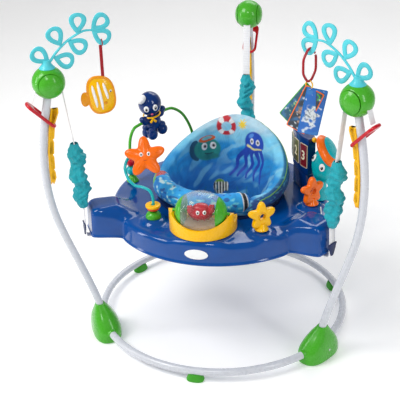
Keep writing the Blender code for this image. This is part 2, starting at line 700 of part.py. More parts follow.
def star_post(name, azimuth, radius, facing, star_radius, slot):
    """A star with a hole, for hanging a toy of one's own on, standing on a round foot."""
    low, centre_height = PLAY_HEIGHT + 0.010 + GAP, PLAY_HEIGHT + 0.052
    upright = upright_plane(facing + 90)
    shift = Matrix.Translation(polar(azimuth, radius, 0) - from_ring(0, 0, 0))
    star = [(x, y + centre_height) for x, y in star_outline(star_radius)]
    hole = arc((0, centre_height + 0.001), 0.0090, 0, 330, 12)
    foot = cone(0.019, 0.013, low, low + 0.016, Matrix.Translation(polar(azimuth, radius, 0)))
    part(name, joined(plate([star, hole], 0.017, shift @ upright), foot), slot)


def build_posts():
    star_post("star_post_yellow", *YELLOW_POST, 0.042, YELLOW)
    star_post("star_post_orange", *ORANGE_POST, 0.043, ORANGE)


def build_stalk():
    """A wavy stalk with a turning disc at its foot and a star that spins on its end."""
    foot = from_ring(*STALK_FOOT, 0)
    low = PLAY_HEIGHT + 0.010 + GAP
    end = STAR_CENTRE + STAR_NORMAL * 0.0085
    route = [
        (*STALK_FOOT, 0.428), (*STALK_FOOT, 0.450), (-0.148, -0.206, 0.478), (-0.157, -0.203, 0.501),
        (-0.180, -0.196, 0.508), (-0.205, -0.188, 0.508), (-0.226, -0.180, 0.524), (-0.238, -0.166, 0.550),
        (-0.232, -0.146, 0.572), (-0.209, -0.133, 0.576), STAR_CENTRE - STAR_NORMAL * 0.019,
    ]
    path = [from_ring(*point) for point in [*smooth(route, 2), end]]
    foot_frame = Matrix.Translation(foot)
    dome = [(0, low + 0.021), (0.009, low + 0.0195), (0.018, low + 0.013), (0.0225, low + 0.003), (0.0225, low), (0, low)]
    part("star_stalk", joined(tube(path, 0.0042), turned(dome, foot_frame, steps=16)), TEAL)

    disc = [
        (0.0215, 0.4625), (0.0215, 0.4545), (0.0175, 0.4535), (0.0165, 0.4470), (0.0055, 0.4470), (0.0055, 0.4625),
    ]
    part("stalk_disc", turned(disc, foot_frame, steps=20, closed=True), YELLOW, foot + Vector((0, 0, 0.4625)))

    centre = from_ring(*STAR_CENTRE)
    facing = aimed(centre, STAR_NORMAL, (0, 0, 1)) @ Matrix.Rotation(math.radians(12), 4, "Z")
    star = plate([star_outline(0.056, turn=0)], 0.020, facing)
    bore = cone(0.0046, 0.0046, -0.02, 0.009, aimed(centre, STAR_NORMAL))
    part("stalk_star", cut(star, bore), ORANGE, centre)


def build_arch():
    """A green bar with beads on one leg and an octopus that swings on it."""
    near, far = (Vector(foot) for foot in ARCH_FEET)
    span = (far - near).length
    direction = (far - near) / span
    low = PLAY_HEIGHT + GAP
    bar = OCTOPUS_BAR
    reach = (Vector((bar.x, bar.y)) - near).dot(direction)
    slope = 0.16
    profile = [  # distance from the near foot, height
        (0.000, low + 0.010), (-0.004, 0.450), (-0.005, 0.500), (0.000, 0.550), (0.016, 0.578),
        *((reach + step, bar.z + step * slope) for step in (-0.056, -0.042, 0.042, 0.056)),
        (0.180, 0.597), (0.220, 0.566), (0.252, 0.510), (span, 0.450), (span, low + 0.010),
    ]
    path = []
    for along, height in smooth([Vector(point) for point in profile], 2):
        path.append(from_ring(*(near + direction * along), height))
    pieces = [tube(path, 0.0046)]
    for foot in (near, far):
        pieces.append(cone(0.0190, 0.0120, low, low + 0.018, Matrix.Translation(from_ring(*foot, 0)), 16))
    on_leg = near - direction * 0.0045
    for height, radius in ((0.4480, 0.0125), (0.4720, 0.0120)):
        pieces.append(ball((radius, radius, radius), from_ring(*on_leg, height), None, 8, 6))
    part("toy_arch", joined(*pieces), GREEN)

    centre = from_ring(*bar)
    along_bar = Vector((*direction, slope)).normalized()
    frame = aimed(centre, along_bar, (0, 0, 1))  # X up, Y sideways, Z along the bar
    lumps = [((0.034, 0.032, 0.034), (0.047, 0, 0)), ((0.034, 0.023, 0.027), (-0.016, 0, 0))]
    lumps += [((0.014, 0.014, 0.016), (0.001, 0, side * 0.030)) for side in (-1, 1)]
    for number in range(4):
        a = math.tau * (number + 0.5) / 4
        lumps.append(((0.019, 0.0155, 0.0180), (-0.048, 0.0170 * math.cos(a), 0.0300 * math.sin(a))))
    shapes = [
        ball(radii, (0, 0, 0), frame @ Matrix.Translation(at) @ Matrix.Rotation(0.2 * number, 4, "X"), 10, 6)
        for number, (radii, at) in enumerate(lumps)
    ]
    octopus = cut(joined(*shapes), cone(0.0052, 0.0052, -0.06, 0.06, frame, 10))
    part("octopus", octopus, ROYAL, centre)


def piano_frame():
    """X towards the seat's side where the keys are, Y along the keyboard, Z up."""
    return Matrix.Translation(from_ring(*PIANO_CENTRE, 0)) @ Matrix.Rotation(math.radians(PIANO_FACING), 4, "Z")


def key_frame(number):
    """The middle of a key's face, X out of it; the keyboard is gently bent."""
    turn = math.radians(13.5) * (number - 2)
    bend = 0.190
    middle = Vector((bend * math.cos(turn) - bend + 0.022, bend * math.sin(turn), 0.536))
    return piano_frame() @ Matrix.Translation(middle) @ Matrix.Rotation(turn, 4, "Z")


def build_piano():
    """A housing with three push keys, and a turtle beside it."""
    low, shoulder, high = PLAY_HEIGHT + GAP, 0.476, 0.592
    bend, face = 0.190, 0.022
    front = arc((face - bend, 0), bend, -19.5, 19.5, 7)
    outline = [*front, (-0.016, 0.054), (-0.020, 0), (-0.016, -0.054)]
    body = plate([outline], high - shoulder, piano_frame() @ Matrix.Translation((0, 0, (shoulder + high) / 2)))
    foot = box((0.030, 0.098, shoulder + 0.01 - low), (0, 0, (shoulder + 0.01 + low) / 2), piano_frame())
    pockets = [box((0.030, 0.0350, 0.0716), (0.003, 0, 0), key_frame(number)) for number in (1, 2, 3)]
    part("piano_housing", cut(joined(body, foot), *pockets), ROYAL)
    for number in (1, 2, 3):
        key = box((0.0075, 0.0338, 0.0704), (-0.0008, 0, 0), key_frame(number))
        part(f"piano_key_{number}", key, (GREEN, YELLOW, RED)[number - 1], key_frame(number).to_translation())

    centre = from_ring(*TURTLE_CENTRE)
    head = ball((0.040, 0.034, 0.056), centre, None, 14, 10)
    shell_frame = aimed(centre + Vector((0.010, -0.014, 0.052)), (0.80, -0.14, 0.50), (0, 0, 1))
    shell = turned([(0, 0.017), (0.022, 0.014), (0.040, 0.005), (0.047, -0.004), (0.042, -0.012), (0, -0.016)],
                   shell_frame @ Matrix.Diagonal((1.08, 0.94, 1, 1)), steps=18)
    post = cone(0.022, 0.017, low, centre.z - 0.02, Matrix.Translation((centre.x - 0.012, centre.y, 0)), 14)
    part("piano_turtle", joined(head, shell, post), TEAL)


# Hanging toys


def hang_frame(azimuth):
    """X outward, Y tangential, Z up, on the rim of the leaf loop that the toy hangs on."""
    return around(azimuth) @ Matrix.Translation((HOOK_LOOP[0], 0, HOOK_LOOP[1]))


def hook_ring(frame, radius, wire):
    """A ring that goes round the loop's rim: it lies across the radial direction, hanging from the rim."""
    circle = [(0, radius * math.cos(math.tau * i / 16), radius * math.sin(math.tau * i / 16)) for i in range(16)]
    return tube(circle, wire, frame, 0, closed=True)


def build_fish():
    frame = hang_frame(LEGS["front_left"])
    ring = hook_ring(frame, 0.0085, 0.0014)
    strap = box((0.009, 0.0030, 0.092), (0.004, 0, -0.0530), frame)
    body = ball((0.037, 0.0125, 0.050), (0.012, 0, -0.148), frame, 14, 8)
    tail = ball((0.014, 0.0060, 0.020), (0.054, 0, -0.156), frame, 10, 6)
    part("toy_fish", joined(ring, strap, body, tail), YELLOW, frame.to_translation())


def build_cards():
    """An open link round the leaf's rim with a ring of three cards on it."""
    frame = hang_frame(LEGS["front_right"])
    hexagon = [(0, 0), (0.020, -0.006), (0.031, -0.042), (0.022, -0.084), (0, -0.090), (-0.022, -0.084),
               (-0.031, -0.042), (-0.020, -0.006)]
    link = [(0, y, z + 0.0085) for y, z in smooth([*hexagon, hexagon[0]], 2)[:-1]]
    ring_at = frame @ Matrix.Translation((0, 0, -0.0885))
    circle = [(0.011 * math.cos(a), 0.0, 0.011 * math.sin(a)) for a in (math.tau * i / 16 for i in range(16))]
    pieces = [tube(link, 0.0030, frame, 1, closed=True), tube(circle, 0.0017, ring_at, 0, closed=True)]
    for turn, lean, depth, middle in ((96, 11, -0.0045, -0.022), (82, 24, 0.0, -0.016), (70, 38, 0.0045, -0.010)):
        card_at = ring_at @ Matrix.Translation((0, 0, -0.0105)) @ Matrix.Rotation(math.radians(turn - 330), 4, "Z")
        card_at = card_at @ Matrix.Rotation(math.radians(lean), 4, "X")
        pieces.append(box((0.0030, 0.056, 0.130), (depth, middle, -0.060), card_at))
    part("toy_cards", joined(*pieces), SKY, frame.to_translation())


clear_scene()
helpers = collection("helpers")
parts = collection(PARTS)
WHITE = material("pearl_white_tube", (0.86, 0.87, 0.90), 0.28)
GREEN = material("green_plastic", (0.10, 0.50, 0.05), 0.32)
YELLOW = material("yellow_plastic", (0.95, 0.58, 0.01), 0.35)
RED = material("red_plastic", (0.60, 0.01, 0.03), 0.35)
AQUA = material("aqua_plastic", (0.10, 0.64, 0.72), 0.38)
WEBBING = material("white_webbing", (0.80, 0.80, 0.82), 0.85)
STEEL = material("spring_steel", (0.55, 0.55, 0.56), 0.30)
TEAL_FABRIC = material("teal_fabric", (0.00, 0.30, 0.38), 0.90)
NAVY = material("navy_plastic", (0.01, 0.05, 0.20), 0.45)
BLUE = material("royal_blue_gloss", (0.00, 0.07, 0.33), 0.12)
ROYAL = material("blue_plastic", (0.01, 0.06, 0.32), 0.20)
SEAT_BLUE = material("seat_fabric", (0.05, 0.33, 0.68), 0.90)
CLEAR = material("clear_plastic", (0.85, 0.90, 0.95), 0.05, 0.30)
ORANGE = material("orange_plastic", (1.00, 0.20, 0.01), 0.35)
TEAL = material("teal_plastic", (0.00, 0.45, 0.50), 0.30)
SKY = material("card_blue", (0.05, 0.33, 0.62), 0.45)

build_base()
build_racks()
build_balls()
build_leaves()
build_handles()
build_suspension()
build_tray()
build_seat()
build_drum()
build_posts()
build_stalk()
build_arch()
build_piano()
build_fish()
build_cards()
bpy.data.collections.remove(helpers)
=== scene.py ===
"""Looks of the activity jumper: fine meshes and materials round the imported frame.

Metres, +Z up, the front is -Y. Places are counted from the floor ring's centre, on the seat's axis.
"""

import math

import bmesh
import bpy
import numpy as np
from mathutils import Matrix, Vector, noise
from mathutils.bvhtree import BVHTree


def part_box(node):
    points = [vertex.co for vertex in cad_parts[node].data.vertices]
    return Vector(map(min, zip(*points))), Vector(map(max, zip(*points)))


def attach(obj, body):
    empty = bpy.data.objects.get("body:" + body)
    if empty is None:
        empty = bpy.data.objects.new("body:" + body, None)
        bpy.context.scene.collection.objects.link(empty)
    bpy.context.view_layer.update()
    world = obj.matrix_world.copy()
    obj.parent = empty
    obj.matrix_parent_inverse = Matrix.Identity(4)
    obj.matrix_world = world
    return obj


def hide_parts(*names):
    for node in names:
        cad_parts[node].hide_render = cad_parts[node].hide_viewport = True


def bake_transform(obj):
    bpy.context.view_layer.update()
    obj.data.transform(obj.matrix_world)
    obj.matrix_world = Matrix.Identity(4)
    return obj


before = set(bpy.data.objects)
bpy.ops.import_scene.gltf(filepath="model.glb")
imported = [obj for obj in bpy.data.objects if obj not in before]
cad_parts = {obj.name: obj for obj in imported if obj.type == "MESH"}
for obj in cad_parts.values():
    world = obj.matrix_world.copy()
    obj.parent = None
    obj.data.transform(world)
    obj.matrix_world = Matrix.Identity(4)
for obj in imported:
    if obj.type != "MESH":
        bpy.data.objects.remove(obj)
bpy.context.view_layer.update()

# Driving dimensions, the frame's own
SEAT_LOW, SEAT_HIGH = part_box("seat_ring")
RING_Y = (SEAT_LOW.y + SEAT_HIGH.y) / 2
TUBE_R, RING_RADIUS, RING_HEIGHT = 0.0111, 0.376, 0.030
LEGS = {"front_left": 210, "front_right": 330, "back": 90}  # azimuths, counted from +X
PADS = {"front": 270, "left": 150, "right": 30}
LEG_LINE = (  # (radius, height) of a leg's centreline
    (0.3800, 0.046), (0.3850, 0.080), (0.4000, 0.140), (0.4350, 0.245), (0.4700, 0.345),
    (0.4930, 0.420), (0.5060, 0.490), (0.5110, 0.560), (0.5095, 0.620), (0.5010, 0.690), (0.4810, 0.7885),
)
BALL_RADIUS, BALL_CENTRE, BALL_SEAM = 0.045, (0.476, 0.822), 0.030
STRAP_WIDTH, STRAP_THICKNESS, STRAP_TURN = 0.022, 0.0018, 0.0307
SPRING_TOP, SPRING_BOTTOM = (0.4230, 0.636), (0.4120, 0.4372)
HANDLE_INNER, HANDLE_OUTER = (0.4690, 0.694), (0.543, 0.770)
HANDLE_THICKNESS, HANDLE_HALF_WIDTH = 0.0095, 0.0230
# half sizes and corner; round the leg
HANDLE_SLOT, HANDLE_SLOT_CENTRE = (0.0360, 0.0152, 0.012), (0.0435, 0)
# remesh size, and the most the padding moves out
CLOTH_VOXEL, SEAT_SWELL, ROLL_SWELL = 0.0045, 0.0035, 0.0030
TRAY_RADIUS, LOBE_RADIUS, TRAY_HOLE = 0.322, 0.402, 0.1585
RIM_HEIGHT, PLAY_HEIGHT, LOBE_HEIGHT = 0.345, 0.412, 0.445
SEAT_BACK_AZIMUTH, SEAT_RADIUS = 80, 0.193
ROLL_HEIGHT, BACK_HEIGHT = 0.472, 0.600
TOY_DRUM = (0.002, -0.256, 0.477)
DRUM_HALF_LENGTH, WINDOW_RADIUS, WINDOW_HALF = 0.0735, 0.0595, 0.048
YELLOW_POST, ORANGE_POST = (306.2, 0.279, 306), (350.5, 0.284, 320)  # azimuth, radius and facing
STALK_FOOT = (-0.149, -0.207)
STAR_CENTRE = Vector((-0.177, -0.165, 0.588))
STAR_NORMAL = Vector((0.25, -0.85, 0.46)).normalized()
ARCH_FEET = ((-0.283, 0.035), (-0.140, 0.262))
OCTOPUS_BAR, BAR_SLOPE = Vector((-0.2335, 0.1136, 0.5935)), 0.16
PIANO_CENTRE, PIANO_FACING, PIANO_BEND = (0.238, 0.081), 209, 0.190
TURTLE_CENTRE = Vector((0.309, 0.016, 0.518))
HOOK_LOOP = (0.324, 0.9155)


# Placing


def polar(azimuth, radius, height):
    angle = math.radians(azimuth)
    return Vector((radius * math.cos(angle), RING_Y + radius * math.sin(angle), height))


def from_ring(x, y, z):
    return Vector((x, RING_Y + y, z))


def around(azimuth):
    """A frame on the ring's axis: X outward along the azimuth, Y tangential, Z up."""
    return Matrix.Translation((0, RING_Y, 0)) @ Matrix.Rotation(math.radians(azimuth), 4, "Z")


def upright_plane(azimuth):
    """The frame of a plate drawn with x as radius and y as height; its thickness is tangential."""
    return around(azimuth) @ Matrix.Rotation(math.pi / 2, 4, "X")


def aimed(centre, direction, across=(0, 0, 1)):
    """A frame whose Z axis points along a direction, and whose X axis is as near `across` as it can be."""
    z = Vector(direction).normalized()
    y = z.cross(Vector(across)).normalized()
    rotation = Matrix((y.cross(z), y, z)).transposed().to_4x4()
    return Matrix.Translation(centre) @ rotation


# Camera: at the front, a little right of the middle, looking down

CAMERA_PLACE = from_ring(0.589, -2.615, 1.726)
CAMERA_YAW, CAMERA_PITCH, CAMERA_ROLL = -0.225, math.radians(26.51), -0.024


def build_camera():
    yaw, pitch, roll = CAMERA_YAW, CAMERA_PITCH, CAMERA_ROLL
    ahead = Vector((math.sin(yaw) * math.cos(pitch), math.cos(yaw) * math.cos(pitch), -math.sin(pitch)))
    right = Vector((math.cos(yaw), -math.sin(yaw), 0))
    up = right.cross(ahead)
    turned_right = right * math.cos(roll) + up * math.sin(roll)
    turned_up = up * math.cos(roll) - right * math.sin(roll)
    data = bpy.data.cameras.new("camera")
    data.sensor_width, data.lens = 36, 89.775
    data.shift_x, data.shift_y = -0.0436, -0.0017
    data.clip_start, data.clip_end = 0.1, 50
    camera = bpy.data.objects.new("camera", data)
    camera.matrix_world = Matrix.Translation(CAMERA_PLACE) @ Matrix(
        (turned_right, turned_up, -ahead)).transposed().to_4x4()
    bpy.context.scene.collection.objects.link(camera)
    bpy.context.scene.camera = camera


# Materials


def colour(red, green, blue):
    """A linear colour from the everyday 0 to 255 values."""
    def linear(value):
        value /= 255
        return value / 12.92 if value <= 0.04045 else ((value + 0.055) / 1.055) ** 2.4
    return (linear(red), linear(green), linear(blue))


def shade(tone, factor):
    return tuple(min(channel * factor, 1.0) for channel in tone)


class Shader:
    """A material being built: its nodes, its Principled shader and the object's own coordinates."""

    def __init__(self, name):
        self.material = bpy.data.materials.new(name)
        self.material.use_nodes = True
        self.tree = self.material.node_tree
        self.surface = self.tree.nodes["Principled BSDF"]
        self.place = self.node("TexCoord").outputs["Object"]

    def node(self, kind, inputs=None, **settings):
        made = self.tree.nodes.new("ShaderNode" + kind)
        for key, value in settings.items():
            setattr(made, key, value)
        for key, value in (inputs or {}).items():
            if isinstance(value, bpy.types.NodeSocket):
                self.tree.links.new(value, made.inputs[key])
            else:
                made.inputs[key].default_value = value
        return made

    def set(self, **values):
        for key, value in values.items():
            self.surface.inputs[key.replace("_", " ")].default_value = value

    def link(self, socket, name):
        self.tree.links.new(socket, self.surface.inputs[name])

    def noise(self, scale, detail=2.0, distortion=0.0, roughness=0.5):
        inputs = {"Vector": self.place, "Scale": scale, "Detail": detail, "Distortion": distortion,
                  "Roughness": roughness}
        return self.node("TexNoise", inputs).outputs["Fac"]

    def ramp(self, value, low, high, to_low=0.0, to_high=1.0):
        inputs = {"Value": value, "From Min": low, "From Max": high, "To Min": to_low, "To Max": to_high}
        return self.node("MapRange", inputs).outputs["Result"]

    def mix(self, factor, first, second, blend="MIX"):
        def tone(value):
            return value if isinstance(value, bpy.types.NodeSocket) else (*value, 1.0)
        made = self.node("MixRGB", {"Fac": factor, "Color1": tone(first), "Color2": tone(second)})
        made.blend_type = blend
        return made.outputs["Color"]

    def math(self, operation, first, second):
        return self.node("Math", {0: first, 1: second}, operation=operation).outputs[0]

    def bump(self, height, strength, distance, under=None):
        inputs = {"Height": height, "Strength": strength, "Distance": distance}
        if under is not None:
            inputs["Normal"] = under
        return self.node("Bump", inputs).outputs["Normal"]

    def weave(self, scale):
        """Threads that cross at right angles on any face: three sets of bands, taken two by two."""
        bands = [
            self.node("TexWave", {"Vector": self.place, "Scale": scale, "Distortion": 0.6, "Detail": 1.0,
                                  "Detail Scale": 2.0}, bands_direction=axis).outputs["Fac"]
            for axis in "XYZ"
        ]
        pairs = [self.math("MULTIPLY", bands[i], bands[(i + 1) % 3]) for i in range(3)]
        return self.math("ADD", self.math("ADD", pairs[0], pairs[1]), pairs[2])


def plastic(name, tone, roughness=0.28, coat=0.25, grain=0.04, depth=0.12):
    """Moulded plastic: cloudy pigment, a faint orange peel, and scuffs that dull it in places."""
    made = Shader(name)
    clouds = made.ramp(made.noise(22, 4, 0.4), 0.32, 0.68)
    made.link(made.mix(clouds, shade(tone, 1 - depth), shade(tone, 1 + depth * 0.6)), "Base Color")
    scuffs = made.noise(75, 8, 1.2, 0.68)
    made.link(made.ramp(scuffs, 0.40, 0.72, roughness * 0.8, roughness * 1.55), "Roughness")
    peel = made.bump(made.noise(240, 2), grain, 0.0006)
    made.link(made.bump(made.noise(1500, 2), grain * 1.5, 0.0002, peel), "Normal")
    made.set(Coat_Weight=coat, Coat_Roughness=0.08, IOR=1.45, Specular_IOR_Level=0.3)
    return made.material


def powder_coat(name, tone):
    """Painted steel tube: a pearl flake in the paint and the fine pebble of powder coat."""
    made = Shader(name)
    flake = made.ramp(made.noise(1900, 2), 0.45, 0.62)
    clouds = made.ramp(made.noise(9, 3), 0.3, 0.7)
    base = made.mix(clouds, shade(tone, 0.96), tone)
    made.link(made.mix(flake, base, shade(tone, 1.03)), "Base Color")
    made.link(made.ramp(made.noise(60, 6, 0.8), 0.35, 0.7, 0.22, 0.36), "Roughness")
    pebble = made.bump(made.noise(420, 2), 0.02, 0.0003)
    made.link(made.bump(made.noise(1400, 2), 0.02, 0.0002, pebble), "Normal")
    made.set(Coat_Weight=0.35, Coat_Roughness=0.12)
    return made.material


def steel(name):
    made = Shader(name)
    made.link(made.mix(made.noise(150, 5), (0.42, 0.42, 0.44), (0.68, 0.68, 0.70)), "Base Color")
    made.link(made.ramp(made.noise(300, 6), 0.3, 0.7, 0.22, 0.45), "Roughness")
    made.link(made.bump(made.noise(900, 3), 0.15, 0.0002), "Normal")
    made.set(Metallic=1.0)
    return made.material


def cloth(name, tone, threads=230, roughness=0.85, sheen=0.35, crease=0.25, crease_scale=55, contrast=1.0):
    """Woven cloth: threads, slubs in the yarn, soft creases and a little sheen."""
    made = Shader(name)
    weave = made.weave(threads)
    slubs = made.ramp(made.noise(34, 5, 0.6), 0.3, 0.7)
    dyed = made.mix(slubs, shade(tone, 1 - 0.20 * contrast), shade(tone, 1 + 0.14 * contrast))
    shadow = made.ramp(weave, 0.3, 1.3, 1 - 0.30 * contrast, 1 + 0.06 * contrast)
    made.link(made.mix(1.0, dyed, made.node("CombineColor", {0: shadow, 1: shadow, 2: shadow}).outputs[0],
                       "MULTIPLY"), "Base Color")
    made.link(made.ramp(made.noise(120, 4), 0.3, 0.7, roughness * 0.9, min(roughness * 1.1, 1)),
              "Roughness")
    soft = made.bump(made.noise(crease_scale, 4, 1.6), crease, 0.004)
    made.link(made.bump(weave, 0.35 * contrast, 0.0006, soft), "Normal")
    made.set(Sheen_Weight=sheen, Sheen_Roughness=0.5)
    return made.material


def printed_cloth(name, roughness=0.62):
    """The seat's cloth: its print, with painted glints and painted shade on the seat's outside flank, is a
    colour painted on the mesh by formula, over a fine weave and soft creases."""
    made = Shader(name)
    painted = made.node("VertexColor", layer_name="print").outputs["Color"]
    weave = made.weave(250)
    shadow = made.ramp(weave, 0.3, 1.3, 0.86, 1.03)
    fade = made.ramp(made.noise(45, 5, 0.5), 0.3, 0.7, 0.90, 1.04)
    grey = made.math("MULTIPLY", shadow, fade)
    made.link(made.mix(1.0, painted, made.node("CombineColor", {0: grey, 1: grey, 2: grey}).outputs[0],
                       "MULTIPLY"), "Base Color")
    made.link(made.ramp(made.noise(90, 4), 0.3, 0.7, roughness * 0.85, roughness * 1.15), "Roughness")
    soft = made.bump(made.noise(26, 4, 1.8), 0.30, 0.006)
    made.link(made.bump(weave, 0.30, 0.0005, soft), "Normal")
    made.set(Sheen_Weight=0.06, Sheen_Roughness=0.45)
    return made.material


def clear_plastic(name):
    """A clear shell: nearly open face on, denser towards its edges, with faint smears."""
    made = Shader(name)
    edge = made.node("LayerWeight", {"Blend": 0.35}).outputs["Facing"]
    made.link(made.ramp(edge, 0.0, 1.0, 0.02, 0.42), "Alpha")
    made.link(made.mix(made.noise(30, 3), (0.52, 0.60, 0.66), (0.66, 0.72, 0.77)), "Base Color")
    made.link(made.ramp(made.noise(40, 6, 1.5), 0.4, 0.75, 0.03, 0.12), "Roughness")
    made.link(made.bump(made.noise(160, 2), 0.02, 0.0004), "Normal")
    made.set(Coat_Weight=0.6, Coat_Roughness=0.03)
    return made.material


def sand_grains(name):
    made = Shader(name)
    grains = made.noise(700, 4)
    made.link(made.mix(made.ramp(grains, 0.35, 0.65), (0.42, 0.22, 0.09), (0.74, 0.48, 0.24)), "Base Color")
    made.link(made.ramp(grains, 0.3, 0.7, 0.75, 0.95), "Roughness")
    made.link(made.bump(grains, 0.8, 0.0012), "Normal")
    return made.material


def painted(name, roughness=0.35, coat=0.3):
    """Plastic or card that carries a colour painted on the mesh by formula."""
    made = Shader(name)
    colours = made.node("VertexColor", layer_name="print").outputs["Color"]
    clouds = made.ramp(made.noise(60, 4), 0.3, 0.7, 0.92, 1.02)
    made.link(made.mix(1.0, colours, made.node("CombineColor",
                                               {0: clouds, 1: clouds, 2: clouds}).outputs[0],
                       "MULTIPLY"), "Base Color")
    made.link(made.ramp(made.noise(80, 6, 1.0), 0.4, 0.7, roughness * 0.85, roughness * 1.4), "Roughness")
    made.link(made.bump(made.noise(300, 3), 0.05, 0.0005), "Normal")
    made.set(Coat_Weight=coat, Coat_Roughness=0.1)
    return made.material


# Shapes: points, faces and a material, joined into pieces


class Shape:
    def __init__(self, points, faces, material=None):
        self.points = np.asarray(points, float).reshape(-1, 3)
        self.faces = [tuple(face) for face in faces]
        self.material = material

    def moved(self, matrix):
        turned = np.array(matrix.to_3x3())
        return Shape(self.points @ turned.T + np.array(matrix.translation), self.faces, self.material)

    def of(self, material):
        return Shape(self.points, self.faces, material)


def piece(name, shapes, body=None, slot=None, nodes=(), sharp=38, weld=1e-6):
    """One object from several shapes, facing out and shaded smooth, riding on a body in place of CAD
    nodes."""
    shapes = [shapes] if isinstance(shapes, Shape) else list(shapes)
    materials = list(dict.fromkeys(shape.material for shape in shapes))
    points, faces, tones, start = [], [], [], 0
    for shape in shapes:
        points.append(shape.points)
        faces += [[start + i for i in face] for face in shape.faces]
        tones += [materials.index(shape.material)] * len(shape.faces)
        start += len(shape.points)
    mesh = bpy.data.meshes.new(name)
    mesh.from_pydata(np.concatenate(points).tolist(), [], faces)
    for material in materials:
        mesh.materials.append(material)
    mesh.polygons.foreach_set("material_index", tones)
    built = bmesh.new()
    built.from_mesh(mesh)
    if weld:
        bmesh.ops.remove_doubles(built, verts=built.verts, dist=weld)
    bmesh.ops.recalc_face_normals(built, faces=built.faces)
    built.to_mesh(mesh)
    built.free()
    mesh.shade_smooth()
    mesh.set_sharp_from_angle(angle=math.radians(sharp))
    obj = bpy.data.objects.new(name, mesh)
    bpy.context.scene.collection.objects.link(obj)
    if body:
        place(obj, body, slot, *nodes)
    return obj


def place(obj, body, slot, *nodes):
    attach(obj, body)
    if nodes:
        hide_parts(*nodes)
    return obj


def taken(obj, material=None):
    """The evaluated shape of a helper object, which is then removed."""
    bpy.context.view_layer.update()
    found = obj.evaluated_get(bpy.context.evaluated_depsgraph_get())
    mesh = bpy.data.meshes.new_from_object(found)
    mesh.transform(obj.matrix_world)
    points = np.empty(len(mesh.vertices) * 3)
    mesh.vertices.foreach_get("co", points)
    shape = Shape(points, [tuple(face.vertices) for face in mesh.polygons], material)
    bpy.data.objects.remove(obj)
    bpy.data.meshes.remove(mesh)
    return shape


def helper(data):
    obj = bpy.data.objects.new("helper", data)
    bpy.context.scene.collection.objects.link(obj)
    return obj


def helper_mesh(shapes):
    shapes = [shapes] if isinstance(shapes, Shape) else shapes
    return piece("helper", [shape.of(None) for shape in shapes])


def grid(rows, material=None, ring=True, closed=False, caps=True):
    """A surface through rows of points: ring joins a row's ends, closed joins the last row to the first."""
    rows = [list(row) for row in rows]
    width, count = len(rows[0]), len(rows)
    faces = []
    for i in range(count if closed else count - 1):
        for j in range(width if ring else width - 1):
            a, b = i * width + j, i * width + (j + 1) % width
            c, d = ((i + 1) % count) * width + (j + 1) % width, ((i + 1) % count) * width + j
            faces.append((a, b, c, d))
    if caps and ring and not closed:
        faces.append(tuple(range(width)))
        faces.append(tuple((count - 1) * width + j for j in range(width)))
    return Shape([tuple(point) for row in rows for point in row], faces, material)


def smooth(points, steps, closed=False):
    """Points on a Catmull-Rom curve through the given ones."""
    knots = [Vector(point) for point in points]
    if closed:
        knots = [knots[-1], *knots, knots[0], knots[1]]
    else:
        knots = [knots[0] * 2 - knots[1], *knots, knots[-1] * 2 - knots[-2]]
    path = []
    for a, b, c, d in zip(knots, knots[1:], knots[2:], knots[3:]):
        for i in range(steps):
            t = i / steps
            path.append(0.5 * (2 * b + (c - a) * t + (2 * a - 5 * b + 4 * c - d) * t**2
                               + (3 * b - a - 3 * c + d) * t**3))
    return path if closed else [*path, knots[-2]]


def tube(points, radius, material=None, sides=20, closed=False, flat=1.0, matrix=None):
    """A round tube along points; radius may be one number or one for each point. flat squeezes it
    across."""
    points = [Vector(point) for point in points]
    if matrix is not None:
        points = [matrix @ point for point in points]
    count = len(points)
    radii = [radius] * count if isinstance(radius, (int, float)) else list(radius)

    def heading(i):
        if closed:
            return (points[(i + 1) % count] - points[i - 1]).normalized()
        return (points[min(i + 1, count - 1)] - points[max(i - 1, 0)]).normalized()

    along = heading(0)
    side = along.orthogonal().normalized()
    sides_at = []
    for i in range(count):
        now = heading(i)
        side = along.rotation_difference(now) @ side
        side = (side - now * side.dot(now)).normalized()
        along = now
        sides_at.append((side.copy(), now.cross(side)))
    twist = 0.0
    if closed:
        end = along.rotation_difference(heading(0)) @ sides_at[-1][0]
        twist = math.atan2(end.dot(sides_at[0][1]), end.dot(sides_at[0][0]))
    rows = []
    for i, (point, (across, over)) in enumerate(zip(points, sides_at)):
        turn = -twist * i / count
        row = []
        for j in range(sides):
            a = math.tau * j / sides + turn
            row.append(point + (across * math.cos(a) * flat + over * math.sin(a)) * radii[i])
        rows.append(row)
    return grid(rows, material, closed=closed)


def strip(points, outline, facing, material=None, closed=False):
    """A band along points: outline's first number is across the band, its second along facing."""
    points, facing = [Vector(point) for point in points], Vector(facing)
    count, rows = len(points), []
    for i, point in enumerate(points):
        ahead = points[(i + 1) % count] if closed else points[min(i + 1, count - 1)]
        behind = points[i - 1] if closed or i else points[0]
        across = facing.cross(ahead - behind).normalized()
        rows.append([point + across * a + facing * b for a, b in outline])
    return grid(rows, material, closed=closed)


def rounded_rectangle(half_x, half_y, radius, centre=(0, 0), count=6):
    corners = ((1, 1, 0), (-1, 1, 90), (-1, -1, 180), (1, -1, 270))
    outline = []
    for x, y, start in corners:
        middle = (centre[0] + x * (half_x - radius), centre[1] + y * (half_y - radius))
        outline += arc(middle, radius, start, start + 90, count)
    return outline


def arc(centre, radius, start, end, count):
    angles = [math.radians(start + (end - start) * i / (count - 1)) for i in range(count)]
    return [(centre[0] + radius * math.cos(a), centre[1] + radius * math.sin(a)) for a in angles]


def lathe(profile, matrix=None, material=None, steps=64, closed=False):
    """A profile of (radius, height) points turned about the local Z axis."""
    rows = []
    for i in range(steps):
        a = math.tau * i / steps
        rows.append([Vector((r * math.cos(a), r * math.sin(a), z)) for r, z in profile])
    made = grid(rows, material, ring=closed, closed=True, caps=False)
    return made.moved(matrix) if matrix is not None else made


